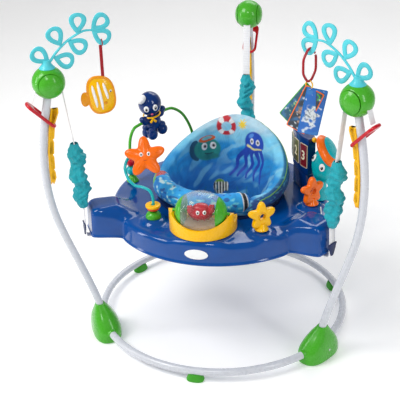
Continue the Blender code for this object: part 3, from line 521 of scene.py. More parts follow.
def ball(radii, centre=(0, 0, 0), matrix=None, material=None, steps=32):
    radii = (radii,) * 3 if isinstance(radii, (int, float)) else radii
    profile = [(math.sin(math.pi * i / (steps // 2)), math.cos(math.pi * i / (steps // 2)))
               for i in range(steps // 2 + 1)]
    profile[0], profile[-1] = (0, 1), (0, -1)
    made = lathe(profile, Matrix.Translation(centre) @ Matrix.Diagonal((*radii, 1)), material, steps)
    return made.moved(matrix) if matrix is not None else made


def plate(outlines, thickness, matrix=None, material=None, bevel=0.0012):
    """A flat piece with rounded edges in the local XY plane; outlines inside the first one are holes."""
    curve = bpy.data.curves.new("helper", "CURVE")
    curve.dimensions, curve.fill_mode = "2D", "BOTH"
    curve.extrude = thickness / 2 - bevel
    curve.bevel_depth, curve.bevel_resolution, curve.offset = bevel, 2, -bevel
    for outline in outlines:
        spline = curve.splines.new("POLY")
        spline.points.add(len(outline) - 1)
        for knot, point in zip(spline.points, outline):
            knot.co = (point[0], point[1], 0, 1)
        spline.use_cyclic_u = True
    obj = helper(curve)
    obj.matrix_world = matrix or Matrix()
    return taken(obj, material)


def rounded_box(size, centre=(0, 0, 0), matrix=None, material=None, bevel=0.001, segments=3):
    built = bmesh.new()
    bmesh.ops.create_cube(built, size=1)
    built.transform(Matrix.Translation(centre) @ Matrix.Diagonal((*size, 1)))
    bmesh.ops.bevel(built, geom=built.edges[:], offset=bevel, segments=segments, affect="EDGES",
                    profile=0.5)
    mesh = bpy.data.meshes.new("helper")
    built.to_mesh(mesh)
    built.free()
    obj = helper(mesh)
    obj.matrix_world = matrix or Matrix()
    return taken(obj, material)


def moulded(node, material, bevel=0.0008, angle=28):
    """A CAD node's own shape with its edges rounded."""
    mesh = bpy.data.meshes.new("helper")
    built = bmesh.new()
    built.from_mesh(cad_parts[node].data)
    bmesh.ops.remove_doubles(built, verts=built.verts, dist=1e-5)
    bmesh.ops.dissolve_limit(built, angle_limit=math.radians(1.0), verts=built.verts, edges=built.edges)
    built.to_mesh(mesh)
    built.free()
    obj = helper(mesh)
    edges = obj.modifiers.new("edges", "BEVEL")
    edges.width, edges.segments, edges.limit_method = bevel, 3, "ANGLE"
    edges.angle_limit = math.radians(angle)
    return taken(obj, material)


def cut(shape, *cutters):
    """The shape with the cutters taken out of it."""
    base = helper_mesh(shape)
    others = [helper_mesh(cutter) for cutter in cutters]
    for other in others:
        boolean = base.modifiers.new("cut", "BOOLEAN")
        boolean.object = other
    made = taken(base, shape.material)
    for other in others:
        bpy.data.objects.remove(other)
    return made


def blob(shapes, material, voxel=0.0016, rounds=6):
    """Overlapping shapes melted into one soft body."""
    obj = helper_mesh(shapes)
    remesh = obj.modifiers.new("remesh", "REMESH")
    remesh.mode, remesh.voxel_size = "VOXEL", voxel
    soften = obj.modifiers.new("soften", "SMOOTH")
    soften.factor, soften.iterations = 0.5, rounds
    return taken(obj, material)


def puffy(outline, thickness, matrix, material, edge=0.35, dome=1.0, rings=10):
    """A soft flat form: crowned on both sides of an outline in the local XY plane."""
    outline = [Vector(point) for point in outline]
    shares = [math.sin(math.pi / 2 * i / rings) for i in range(1, rings + 1)]

    def height(share):
        rim = math.sqrt(max(1 - share**6, 0))
        return thickness / 2 * (edge + (1 - edge) * (1 - share**2 * dome)) * rim

    rows = [[(point.x * 0.02, point.y * 0.02, height(0)) for point in outline]]
    rows += [[(point.x * s, point.y * s, height(s)) for point in outline] for s in shares]
    rows += [[(x, y, -z) for x, y, z in row] for row in rows[-2::-1]]
    return grid(rows, material).moved(matrix)


def star_outline(radius, count=100, turn=90, depth=0.27):
    outline = []
    for i in range(count):
        a = math.tau * i / count
        reach = radius * (1 + depth * math.cos(5 * a)) / (1 + depth)
        outline.append((reach * math.cos(a + math.radians(turn)), reach * math.sin(a + math.radians(turn))))
    return outline


def eye(centre, facing, radius, up=(0, 0, 1), tall=1.25):
    """A simple eye: a white dome, a black pupil and a small highlight."""
    at = aimed(centre, facing, up)
    lift = radius * 0.22
    return [
        ball((radius * tall, radius, radius * 0.30), (0, 0, 0), at, EYE_WHITE, 20),
        ball((radius * 0.62, radius * 0.50, radius * 0.30), (-radius * 0.15, 0, lift), at, EYE_BLACK, 16),
        ball(radius * 0.15, (radius * 0.12, radius * 0.16, lift + radius * 0.22), at, EYE_WHITE, 10),
    ]


def number_shape(text, height, matrix, material, depth=0.0005):
    """A plain numeral, standing a little proud of its face."""
    curve = bpy.data.curves.new("helper", "FONT")
    curve.body, curve.size, curve.extrude = text, height, depth
    curve.align_x, curve.align_y = "CENTER", "CENTER"
    curve.offset = height * 0.012
    obj = helper(curve)
    obj.matrix_world = matrix
    return taken(obj, material)


def paint(obj, tone_at):
    """Gives each vertex the colour that tone_at returns for all the points at once, as linear values."""
    mesh = obj.data
    points = np.empty(len(mesh.vertices) * 3)
    mesh.vertices.foreach_get("co", points)
    tones = np.ones((len(mesh.vertices), 4))
    tones[:, :3] = tone_at(points.reshape(-1, 3))
    # the layer holds the print, and on the seat's outside flank also painted glints and painted shade
    layer = mesh.color_attributes.new("print", "FLOAT_COLOR", "POINT")
    layer.data.foreach_set("color", tones.ravel())
    return obj


def dapple(points, scale, seed=0.0):
    """Soft noise from -1 to 1 at each point."""
    offset = Vector((seed, seed * 1.7, seed * 0.3))
    return np.array([noise.noise(Vector(point) * scale + offset) for point in points])


def step(value, low, high):
    t = np.clip((value - low) / (high - low), 0, 1)
    return t * t * (3 - 2 * t)


# Frame


def on_leg(azimuth, points):
    """World places of (radius, height) points above a leg."""
    return [around(azimuth) @ Vector((point[0], 0, point[1])) for point in points]


def superellipse(azimuth, centre, radial, tangential, height, squareness=0.75, count=64):
    row = []
    for i in range(count):
        a = math.tau * i / count
        x = centre + radial * math.copysign(abs(math.cos(a)) ** squareness, math.cos(a))
        y = tangential * math.copysign(abs(math.sin(a)) ** squareness, math.sin(a))
        row.append(around(azimuth) @ Vector((x, y, height)))
    return row


def foot_loft(azimuth, sizes, material, steps=5):
    """A moulded foot through (height, radial centre, radial half, tangential half) sections."""
    rows = [superellipse(azimuth, s[1], s[2], s[3], s[0]) for s in smooth_rows(sizes, steps)]
    return grid(rows, material)


def smooth_rows(rows, steps):
    """Catmull-Rom through rows of any number of values."""
    knots = [np.array(row, float) for row in rows]
    knots = [2 * knots[0] - knots[1], *knots, 2 * knots[-1] - knots[-2]]
    found = []
    for a, b, c, d in zip(knots, knots[1:], knots[2:], knots[3:]):
        for i in range(steps):
            t = i / steps
            found.append(0.5 * (2 * b + (c - a) * t + (2 * a - 5 * b + 4 * c - d) * t**2
                                + (3 * b - a - 3 * c + d) * t**3))
    return [*found, knots[-2]]


def collar(azimuth, offset):
    """The lip where a ring tube enters a socket."""
    here, there = (polar(azimuth + offset * turn, RING_RADIUS, RING_HEIGHT) for turn in (1.0, 0.9))
    profile = [(TUBE_R, 0.0022), (0.0128, 0.0018), (0.0142, -0.0010), (0.0150, -0.006), (TUBE_R, -0.006)]
    return lathe(profile, aimed(here, here - there), GREEN, 40, closed=True)


def build_base():
    for name, start in (("left", 90), ("front", 210), ("right", 330)):
        path = [polar(start + 2 + 116 * i / 64, RING_RADIUS, RING_HEIGHT) for i in range(65)]
        piece("floor_ring_" + name, tube(path, TUBE_R, WHITE, 32), "frame", "white_tube",
              ["ring_tube_" + name])
    socket = (
        (0.0000, 0.376, 0.0375, 0.0665), (0.0025, 0.376, 0.0410, 0.0695), (0.012, 0.376, 0.0425, 0.0705),
        (0.036, 0.377, 0.0415, 0.066), (0.062, 0.381, 0.0350, 0.050), (0.086, 0.385, 0.0245, 0.0300),
        (0.1035, 0.389, 0.0152, 0.0162), (0.1055, 0.3895, 0.0142, 0.0150), (0.1058, 0.3895, 0.0116, 0.0116),
    )
    for name, azimuth in LEGS.items():
        leg = on_leg(azimuth, smooth(LEG_LINE, 8))
        button = aimed(on_leg(azimuth, [(0.3868, 0.126)])[0],
                       around(azimuth).to_3x3() @ Vector((-1, 0, 0.2)))
        parts = [tube(leg, TUBE_R, WHITE, 32), ball((0.0032, 0.0032, 0.0024), (0, 0, 0), button, STEEL, 20)]
        piece("leg_tube_" + name, parts, "frame", "white_tube", ["upright_" + name])
        screw = around(azimuth) @ Matrix.Translation((0.4176, 0, 0.034)) @ Matrix.Rotation(math.pi / 2, 4,
            "Y")
        head = lathe([(0, 0.0016), (0.0022, 0.0014), (0.0040, 0.0006), (0.0042, -0.002), (0, -0.002)],
                     screw, STEEL, 24)
        foot = [foot_loft(azimuth, socket, GREEN), collar(azimuth, 10.5), collar(azimuth, -10.5), head]
        piece("leg_foot_" + name, foot, "frame", "green_plastic", ["leg_socket_" + name])
    pad = (
        (0.000, RING_RADIUS, 0.0148, 0.0235), (0.0015, RING_RADIUS, 0.0158, 0.0250),
        (0.006, RING_RADIUS, 0.0160, 0.0255),
        (0.014, RING_RADIUS, 0.0154, 0.0220), (0.022, RING_RADIUS, 0.0140, 0.0180),
        (0.0242, RING_RADIUS, 0.0128, 0.0160),
    )
    for name, azimuth in PADS.items():
        piece("rubber_pad_" + name, foot_loft(azimuth, pad, GREEN_RUBBER), "frame", "green_plastic",
              ["floor_pad_" + name])
    for name in LEGS:
        rack = moulded("rack_" + name, YELLOW, 0.0007)
        inward = around(LEGS[name]).to_3x3() @ Vector((-0.0045, 0, 0))
        racks = [rack, rack.moved(Matrix.Translation(inward)), rack.moved(Matrix.Translation(inward * 1.8))]
        piece("notched_rack_" + name, racks, "frame", "yellow_plastic", ["rack_" + name])


def sphere_profile(low, high, radius, count):
    """(radius, axial) points of a sphere between two axial stations, evenly turned."""
    first, last = math.asin(low / radius), math.asin(high / radius)
    turns = [first + (last - first) * i / (count - 1) for i in range(count)]
    return [(radius * math.cos(a), radius * math.sin(a)) for a in turns]


def tangent_angle(point, centre, radius, side):
    away = Vector(point) - Vector(centre)
    return math.degrees(math.atan2(away.y, away.x)) + side * math.degrees(math.acos(radius / away.length))


def strap_line():
    """The strap's inner end, its turn over the guide drum, and its outer end, as (radius, height)."""
    low, high = (SPRING_TOP[0] + 0.0003, SPRING_TOP[1] + 0.0006), (0.5270, 0.7680)
    start = tangent_angle(low, BALL_CENTRE, STRAP_TURN, -1) % 360
    end = tangent_angle(high, BALL_CENTRE, STRAP_TURN, 1) % 360
    return low, arc(BALL_CENTRE, STRAP_TURN, start, end - 360 if end > start else end, 25), high


def strap_slot(azimuth, inside, outside):
    start, along = Vector(inside), (Vector(outside) - Vector(inside)).normalized()
    to_centre = Vector(BALL_CENTRE) - start
    nearest = to_centre.dot(along)
    reach = nearest + math.sqrt(BALL_RADIUS**2 - (to_centre.length_squared - nearest**2))
    leaving = start + along * (reach - 0.0015)
    at = Matrix.Translation((leaving.x, 0, leaving.y)) @ Matrix.Rotation(math.atan2(along.x, along.y), 4,
        "Y")
    return rounded_box((0.0055, STRAP_WIDTH + 0.003, 0.022), (0, 0, 0), around(azimuth) @ at, None,
                       0.0015, 2)


def build_balls():
    """Round strap housings: a shell with slots, and a domed cap with a seam round it."""
    low, turn, high = strap_line()
    edge = sphere_profile(BALL_SEAM, 0, BALL_RADIUS, 2)[0][0]
    shell = [(edge - 0.0022, BALL_SEAM - 0.0004), (edge - 0.0006, BALL_SEAM - 0.0002)]
    shell += sphere_profile(BALL_SEAM - 0.0012, 0.0012 - BALL_SEAM, BALL_RADIUS, 30)
    shell += [(edge - 0.0006, 0.0002 - BALL_SEAM), (edge - 0.0022, 0.0004 - BALL_SEAM)]
    shell += sphere_profile(0.0010 - BALL_SEAM, BALL_SEAM - 0.0010, BALL_RADIUS - 0.003, 16)
    cap = [(0, 0.0432), (0.0100, 0.0428), (0.0180, 0.0412), (0.0250, 0.0380), (0.0295, 0.0345),
           (edge - 0.0022, BALL_SEAM + 0.0034), (edge - 0.0030, BALL_SEAM + 0.0016), (0.0280, 0.0280),
           (0.0280, 0.0230),
           (0, 0.0230)]
    for name, azimuth in LEGS.items():
        at = Matrix.Translation((BALL_CENTRE[0], 0, BALL_CENTRE[1])) @ Matrix.Rotation(-math.pi / 2, 4, "X")
        place_at = around(azimuth) @ at
        leg = tube(on_leg(azimuth, smooth(LEG_LINE, 4)[-14:]), TUBE_R + 0.0002)
        slots = [strap_slot(azimuth, turn[0], low), strap_slot(azimuth, turn[-1], high)]
        body = cut(lathe(shell, place_at, GREEN, 72, closed=True), leg, *slots)
        piece("strap_ball_" + name, body, "frame", "green_plastic", ["ball_shell_" + name])
        turned = place_at @ Matrix.Rotation(math.pi, 4, "X")
        caps = [lathe(cap, place_at, GREEN, 72), lathe(cap, turned, GREEN, 72)]
        piece("ball_caps_" + name, caps, "frame", "green_plastic", ["ball_cover_" + name])


def teardrop(tip, heart, length, half_width, start, count):
    axis = (Vector(heart) - Vector(tip)).normalized()
    side = Vector((-axis.y, axis.x))
    outline = []
    for i in range(count):
        t = math.tau * (i + 0.5) / count
        along = start + length * (1 - math.cos(t)) / 2
        outline.append(Vector(tip) + axis * along + side * (half_width / 0.77 * math.sin(t)
                                                            * math.sin(t / 2)))
    return outline


def leaf_loop(tip, heart, plane):
    """An open leaf: a rounded band between a teardrop and the smaller teardrop inside it."""
    outer = teardrop(tip, heart, 0.058, 0.0238, 0.0, 64)
    hole = teardrop(tip, heart, 0.029, 0.0098, 0.0180, 64)
    rows = []
    for a, b in zip(outer, hole):
        middle, reach = (a + b) / 2, (a - b) / 2
        row = []
        for i in range(14):
            turn = math.tau * i / 14
            across = math.copysign(abs(math.cos(turn)) ** 0.8, math.cos(turn))
            out = math.copysign(abs(math.sin(turn)) ** 0.8, math.sin(turn))
            point = middle + reach * across
            row.append(plane @ Vector((point.x, point.y, 0.0034 * out)))
        rows.append(row)
    return grid(rows, AQUA, closed=True)


def build_leaves():
    stem = smooth([(0.4765, 0.868), (0.4640, 0.882), (0.4450, 0.905), (0.4130, 0.932), (0.3740, 0.951),
                   (0.3500, 0.952), (0.3400, 0.951)], 10)
    loops = (  # tip on the stem, and heart
        ((0.468, 0.876), (0.487, 0.893)), ((0.457, 0.889), (0.425, 0.877)),
        ((0.433, 0.917), (0.446, 0.946)),
        ((0.415, 0.930), (0.389, 0.914)), ((0.388, 0.945), (0.384, 0.978)),
        ((0.350, 0.952), (0.326, 0.970)),
        ((0.349, 0.951), (0.324, 0.9340)),
    )
    foot = [(0.0216, 0.8610), (0.0218, 0.8635), (0.0185, 0.8665), (0.0128, 0.8740), (0.0098, 0.8840),
            (0, 0.8855)]
    for name in ("front_left", "front_right"):
        azimuth = LEGS[name]
        plane = upright_plane(azimuth)
        line = [plane @ Vector((point.x, point.y, 0)) for point in stem]
        radii = [0.0046 - 0.0016 * i / (len(line) - 1) for i in range(len(line))]
        shapes = [tube(line, radii, AQUA, 16, flat=0.85)]
        shapes += [leaf_loop(tip, heart, plane) for tip, heart in loops]
        shapes.append(lathe(foot, around(azimuth) @ Matrix.Translation((BALL_CENTRE[0], 0, 0)), AQUA, 40))
        piece("leafy_branch_" + name, shapes, "frame", "aqua_plastic",
              ["leaf_branch_" + name.split("_")[1]])


# Suspension


def handle_matrix(azimuth):
    rise = math.atan2(HANDLE_OUTER[1] - HANDLE_INNER[1], HANDLE_OUTER[0] - HANDLE_INNER[0])
    at = Matrix.Translation((HANDLE_INNER[0], 0, HANDLE_INNER[1]))
    return around(azimuth) @ at @ Matrix.Rotation(-rise, 4, "Y")


def build_handles():
    length = math.dist(HANDLE_INNER, HANDLE_OUTER)
    hole = rounded_rectangle(*HANDLE_SLOT, centre=HANDLE_SLOT_CENTRE, count=10)
    outline = rounded_rectangle(length / 2, HANDLE_HALF_WIDTH, 0.020, centre=(length / 2, 0), count=12)
    for name, azimuth in LEGS.items():
        at = handle_matrix(azimuth)
        grip = tube([(length - 0.014, -0.015, 0), (length - 0.0105, 0, 0), (length - 0.014, 0.015, 0)],
                    [0.0036, 0.0052, 0.0036], RED, 16, matrix=at)
        shapes = [plate([outline, hole], HANDLE_THICKNESS, at, RED, 0.0036), grip]
        piece("adjust_handle_" + name, shapes, "handle_" + name, "red_plastic", ["handle_" + name])


def band(azimuth, points, material, width=STRAP_WIDTH, thickness=STRAP_THICKNESS):
    """Flat webbing along (radius, height) points, its width along the tangent."""
    section = rounded_rectangle(thickness / 2, width / 2, thickness * 0.4, count=3)
    facing = around(azimuth).to_3x3() @ Vector((0, 1, 0))
    return strip(on_leg(azimuth, points), section, facing, material)


def spring_frame(azimuth):
    low, high = on_leg(azimuth, [SPRING_BOTTOM, SPRING_TOP])
    return aimed(low, high - low, around(azimuth).to_3x3() @ Vector((1, 0, 0)))


def between(first, last, count):
    return [Vector(first).lerp(Vector(last), i / count) for i in range(count + 1)]


def gathered_sleeve(azimuth, seed):
    """A fabric sleeve bunched over its spring: bulges, a wandering middle, and slanting folds."""
    length = math.dist(SPRING_BOTTOM, SPRING_TOP)
    bulges = smooth_rows([(r,) for r in (0.0120, 0.0190, 0.0250, 0.0185, 0.0245, 0.0180, 0.0240, 0.0205,
                                         0.0110)], 16)
    at, rows, turns = spring_frame(azimuth), [], 72
    for i, (radius,) in enumerate(bulges):
        share = i / (len(bulges) - 1)
        ends = min(share, 1 - share) * 6
        loose = min(ends, 1.0)
        drift = Vector((0.0048 * math.sin(15.0 * share + seed),
                        0.0052 * math.cos(13.0 * share + 2 * seed), 0)) * loose
        row = []
        for j in range(turns):
            a = math.tau * j / turns
            slant = math.sin(5 * a + 11 * share + 2.2 * math.sin(8 * share + seed) + seed)
            rings = math.sin(58 * share + 1.8 * math.sin(2 * a + seed) + 1.1 * math.sin(3 * a - 9 * share))
            ripple = math.sin(17 * a + 25 * share + 3 * seed)
            rough = noise.noise(Vector((2.2 * math.cos(a), 2.2 * math.sin(a), 16 * share + 5 * seed)))
            out = loose * (0.0018 * slant + 0.0021 * rings + 0.0032 * rough) + 0.0005 * ripple
            reach = radius - 0.0012 + out
            row.append(at @ (Vector((reach * math.cos(a), reach * math.sin(a), length * share)) + drift))
        rows.append(row)
    return grid(rows, TEAL_FABRIC, caps=False)


def build_suspension():
    low, turn, high = strap_line()
    length = math.dist(SPRING_BOTTOM, SPRING_TOP)
    coil = [Vector((0, 0, 0.001)), Vector((0.0044, 0, 0.006))]
    for i in range(8 * 24 + 1):
        a = math.tau * i / 24
        coil.append(Vector((0.0088 * math.cos(a), 0.0088 * math.sin(a),
                            0.010 + (length - 0.020) * i / 192)))
    coil += [Vector((0.0044, 0, length - 0.006)), Vector((0, 0, length - 0.001))]
    for number, (name, azimuth) in enumerate(LEGS.items()):
        over = piece("strap_turn_" + name, band(azimuth, turn, WEBBING), "frame", "webbing")
        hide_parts("strap_" + name)
        inner = piece("strap_inner_" + name, band(azimuth, between(turn[0], low, 20), WEBBING))
        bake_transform(inner)
        outer = piece("strap_outer_" + name, band(azimuth, between(turn[-1], high, 14), WEBBING))
        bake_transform(outer)
        spring = piece("coil_spring_" + name, tube(coil, 0.0012, STEEL, 8, matrix=spring_frame(azimuth)))
        sleeve = piece("gathered_sleeve_" + name, gathered_sleeve(azimuth, 1.3 * number), sharp=180)
        thick = sleeve.modifiers.new("thickness", "SOLIDIFY")
        thick.thickness, thick.offset = 0.0007, 1.0
        for soft, slot, node in ((spring, "spring_steel", "spring_"),
                                 (sleeve, "teal_fabric", "spring_cover_")):
            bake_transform(soft)
            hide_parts(node + name)
        build_hook(name, azimuth)


def build_hook(name, azimuth):
    """The webbing loop under a sleeve, and the dark triangular hook that catches the tray's edge."""
    loop = smooth([(0.4118, 0.4364), (0.4125, 0.415), (0.4128, 0.385), (0.4122, 0.3530), (0.4060, 0.3448),
                   (0.3800, 0.3440)], 8)
    tab = [(-0.0155, 0.034), (0.0155, 0.034), (0.0165, 0.026), (0.0060, -0.001), (0.0, -0.004),
           (-0.0060, -0.001),
           (-0.0165, 0.026)]
    outline = [tuple(point) for point in smooth([Vector(point) for point in tab], 5, closed=True)]
    at = around(azimuth) @ Matrix.Translation((0.4150, 0, 0.352)) @ Matrix.Rotation(math.pi / 2, 4, "Z")
    at = at @ Matrix.Rotation(math.pi / 2, 4, "X")
    shapes = [band(azimuth, loop, WEBBING, 0.0235, 0.0024), plate([outline], 0.0034, at, NAVY, 0.0010)]
    piece("sleeve_hook_" + name, shapes, "tray", "navy_plastic", ["strap_hook_" + name])


# Tray


def leg_distance(azimuth):
    return min(abs((azimuth - leg + 180) % 360 - 180) for leg in LEGS.values())


def lobe_share(azimuth, half, fade):
    """1 on a lobe's middle, 0 between lobes."""
    t = min(max((half + fade - leg_distance(azimuth)) / fade, 0), 1)
    return t * t * (3 - 2 * t)


def tray_reach(azimuth):
    flat = LOBE_RADIUS / math.cos(math.radians(min(leg_distance(azimuth), 4)))
    return TRAY_RADIUS + (flat - 0.003 - TRAY_RADIUS) * lobe_share(azimuth, 4.8, 7.6)


def bump_height(x, y):
    """Raised moulding of the play surface: pedestals under the posts, and a bed round the toy drum."""
    rise = 0.0
    for azimuth, radius in (YELLOW_POST[:2], ORANGE_POST[:2], (math.degrees(math.atan2(*STALK_FOOT[::-1])),
                                                               math.hypot(*STALK_FOOT))):
        angle = math.radians(azimuth)
        away = math.hypot(x - radius * math.cos(angle), y - radius * math.sin(angle))
        rise = max(rise, 0.0100 * (1 - step(away, 0.0265, 0.0440)))
    away = math.hypot(x - TOY_DRUM[0], y - TOY_DRUM[1] - 0.034)
    rise = max(rise, 0.0040 * (1 - step(away, 0.0975, 0.1120)))
    return float(rise)


def rim_height(azimuth):
    return RIM_HEIGHT + 0.008 * lobe_share(azimuth, 7, 9)


def tray_column(azimuth):
    """(radius, height) of the tray's skin from the seat hole, over the play surface and down the wall."""
    reach, lift = tray_reach(azimuth), (LOBE_HEIGHT - 0.004 - PLAY_HEIGHT) * lobe_share(azimuth, 4.5, 9.5)
    rim, corner = rim_height(azimuth), 0.0155 + 0.0085 * lobe_share(azimuth, 8, 8)
    angle = math.radians(azimuth)
    bed = math.hypot(reach * math.cos(angle) - TOY_DRUM[0], reach * math.sin(angle) - TOY_DRUM[1] - 0.034)
    slump = 0.006 * (1 - lobe_share(azimuth, 8, 12)) * float(step(bed, 0.100, 0.130))
    column = [(TRAY_HOLE, PLAY_HEIGHT - 0.0030), (TRAY_HOLE + 0.0006, PLAY_HEIGHT - 0.0006),
              (TRAY_HOLE + 0.003, PLAY_HEIGHT)]
    inner, outer = TRAY_HOLE + 0.005, reach - 0.0015 - corner
    for i in range(56):
        radius = inner + (outer - inner) * i / 55
        x, y = radius * math.cos(angle), radius * math.sin(angle)
        sink = slump * float(step(radius, 0.255, 0.320))
        height = PLAY_HEIGHT + lift * float(step(radius, 0.258, 0.325)) - sink + bump_height(x, y)
        column.append((radius, height))
    top = column[-1][1]
    for i in range(1, 8):
        a = math.pi / 2 * i / 8
        column.append((outer + corner * math.sin(a), top - corner * (1 - math.cos(a))))
    wall_top = top - corner
    column += [(reach - 0.0010, wall_top - 0.005)]
    wall_foot = rim + 0.0085
    column += [(reach - 0.0008 + 0.0010 * i / 6,
                wall_top - 0.005 + (wall_foot - wall_top + 0.005) * i / 6) for i in range(1, 7)]
    column += [(reach + 0.0012, rim + 0.0062), (reach + 0.0030, rim + 0.0045),
               (reach + 0.0032, rim + 0.0012),
               (reach + 0.0022, rim), (reach - 0.0030, rim), (reach - 0.0032, rim + 0.006)]
    return column


def tray_azimuths():
    """All round, closer together at the lobes' sides."""
    found = []
    for leg in (90, 210, 330):
        offset = -60.0
        while offset < 60:
            found.append(leg + offset)
            offset += 0.55 if 3 <= abs(offset) <= 16 else 1.1
    return found


def build_tray():
    columns = []
    for azimuth in tray_azimuths():
        outside = tray_column(azimuth)
        reach = tray_reach(azimuth)
        inside = [(max(r - 0.0015, TRAY_HOLE), h - 0.003) for r, h in outside[-15:2:-6]]
        inside = [(reach - 0.0032, outside[-15][1] - 0.012), *inside[1:], (TRAY_HOLE, PLAY_HEIGHT - 0.0035)]
        columns.append([polar(azimuth, r, h) for r, h in outside + inside])
    skin = grid(columns, BLUE_GLOSS, closed=True)
    badge_at = polar(270.2, tray_reach(270.2) + 0.0004, 0.3790)
    badge = aimed(badge_at, (badge_at - from_ring(0, 0, 0.3790)) + Vector((0, 0, 0.02)), (0, 0, 1))
    oval = [(0.0145 * math.cos(math.tau * i / 48), 0.0330 * math.sin(math.tau * i / 48)) for i in range(48)]
    shapes = [skin, plate([oval], 0.0024, badge, WHITE_PLASTIC, 0.0009)]
    shapes.append(number_shape("1", 0.034, numeral_place(347.6, 0.318), WHITE_PLASTIC))
    shapes.append(number_shape("2", 0.034, numeral_place(169, 0.296), WHITE_PLASTIC))
    piece("tray_shell", shapes, "tray", "tray_blue", ["tray_top"], sharp=50)
    under = []
    for azimuth in tray_azimuths()[::2]:
        reach, top, low = tray_reach(azimuth) - 0.0036, PLAY_HEIGHT - 0.0038, rim_height(azimuth)
        profile = [
            (TRAY_HOLE, top), (TRAY_HOLE + 0.003, top), (TRAY_HOLE + 0.003, 0.3755), (0.200, low + 0.0150),
            (0.240, low + 0.003), (reach, low + 0.003), (reach, low), (0.240, low), (0.199, low + 0.0115),
            (TRAY_HOLE, 0.3725),
        ]
        under.append([polar(azimuth, r, h) for r, h in profile])
    piece("tray_underside", grid(under, BLUE_SATIN, closed=True), "tray", "tray_blue", ["tray_bottom"])


def numeral_place(azimuth, radius):
    """On the tray's skin, turned to be read from the front."""
    column = tray_column(azimuth)
    low, high = next((a, b) for a, b in zip(column, column[1:]) if a[0] <= radius < b[0])
    slope = (high[1] - low[1]) / (high[0] - low[0])
    at = polar(azimuth, radius, low[1] + slope * (radius - low[0]) + 0.0003)
    return aimed(at, around(azimuth).to_3x3() @ Vector((-slope, 0, 1)), (0.975, 0.22, 0))


# Seat


def seat_rim(azimuth):
    from_back = math.radians(azimuth - SEAT_BACK_AZIMUTH)
    return ROLL_HEIGHT + (BACK_HEIGHT - ROLL_HEIGHT) * ((1 + math.cos(from_back)) / 2) ** 2.5


def under_roll(azimuth):
    """1 where the front roll lies on the seat's edge, and 0 where the edge is bare."""
    away = abs((azimuth - ROLL_MIDDLE + 180) % 360 - 180)
    return 1 - float(step(away, ROLL_HALF - 12, ROLL_HALF + 1))


def seat_column(azimuth):
    """(radius, height) of the padded bucket: up its outside, over the edge, and down to its floor."""
    rim, covered = seat_rim(azimuth), under_roll(azimuth)
    back = (rim - ROLL_HEIGHT) / (BACK_HEIGHT - ROLL_HEIGHT)
    edge = rim - 0.003 - 0.020 * covered
    flare = 0.013 * float(step(math.cos(math.radians(azimuth + 8)), 0.2, 0.9)) * (1 - back**3)
    flare -= 0.012 * covered + 0.001 * back
    sleeve, foot = 0.1475, 0.4210
    return [
        (0.070, 0.242), (0.116, 0.264), (0.136, 0.320), (sleeve, 0.398), (sleeve, foot - 0.004),
        (0.154, foot),
        (SEAT_RADIUS - 0.008 + min(flare, 0), foot), (SEAT_RADIUS - 0.001 + min(flare, 0), foot + 0.014),
        (SEAT_RADIUS + flare, (foot + edge) / 2), (SEAT_RADIUS - 0.002 + flare, edge - 0.022),
        (SEAT_RADIUS - 0.007 + flare, edge - 0.006), (SEAT_RADIUS - 0.018 + flare, edge),
        (SEAT_RADIUS - 0.031 + flare, edge - 0.009), (SEAT_RADIUS - 0.035 + flare * 0.6, edge - 0.030),
        (SEAT_RADIUS - 0.042, 0.446), (0.1335, 0.404), (0.1240, 0.328), (0.1060, 0.278), (0.063, 0.2550),
    ]


def pleats(azimuth, height):
    """How far the cloth stands in or out: soft upright pleats below the rim of the back."""
    away = math.radians(azimuth - SEAT_BACK_AZIMUTH)
    share = float(step(height, 0.41, 0.46) * (1 - step(height, 0.50, 0.56)))
    return 0.0022 * share * (math.sin(17 * away + 1.2) + 0.6 * math.sin(31 * away))


def build_seat():
    centre = from_ring(0, 0, 0)
    sleeve, top = TRAY_HOLE - 0.003, PLAY_HEIGHT + 0.0003
    ring = smooth_corners([
        (0.188, top + 0.006), (0.188, top), (sleeve, top), (sleeve, 0.3695), (sleeve + 0.0085, 0.3685),
        (sleeve + 0.0085, 0.364), (sleeve - 0.005, 0.364), (sleeve - 0.005, top + 0.006)], 0.0010)
    piece("seat_turning_ring", lathe(ring, Matrix.Translation(centre), NAVY, 120, closed=True), "seat",
          "navy_plastic",
          ["seat_ring"])
    rows, steps = [], 180
    for i in range(steps):
        azimuth = 360 * i / steps
        column = smooth_rows(seat_column(azimuth), 5)
        rows.append([polar(azimuth, r - (pleats(azimuth, h) if k > 55 else 0), h) for k,
                     (r, h) in enumerate(column)])
    bucket = grid(rows, None, ring=False, closed=True)
    low, high = [row[0] for row in rows], [row[-1] for row in rows]
    caps = [grid([low, [from_ring(0, 0, 0.240)] * steps], None, caps=False),
            grid([high, [from_ring(0, 0, 0.250)] * steps], None, caps=False)]
    bucket = Shape(helper_points([bucket, *caps]), helper_faces([bucket, *caps]))
    holes = []
    for side in (-40, 40):
        facing = around(SEAT_BACK_AZIMUTH + 180 + side)
        middle = Matrix.Translation((0, 0, 0.312)) @ Matrix.Rotation(math.pi / 2, 4, "Y")
        holes.append(lathe([(0, 0.20), (0.0425, 0.20), (0.0425, 0.06), (0, 0.06)], facing @ middle, None,
                           48))
    body = swollen(cut(bucket, *holes), CLOTH_VOXEL, SEAT_SWELL)
    seat = piece("seat_bucket", body.of(SEAT_CLOTH_PRINT_AND_PAINTED_LIGHT), sharp=180)
    paint(seat, seat_tone)
    place(seat, "seat", "seat_fabric", "seat_pad")
    build_roll()
    build_seat_trim(seat)


def helper_points(shapes):
    return np.concatenate([shape.points for shape in shapes])


def helper_faces(shapes):
    faces, start = [], 0
    for shape in shapes:
        faces += [[start + i for i in face] for face in shape.faces]
        start += len(shape.points)
    return faces


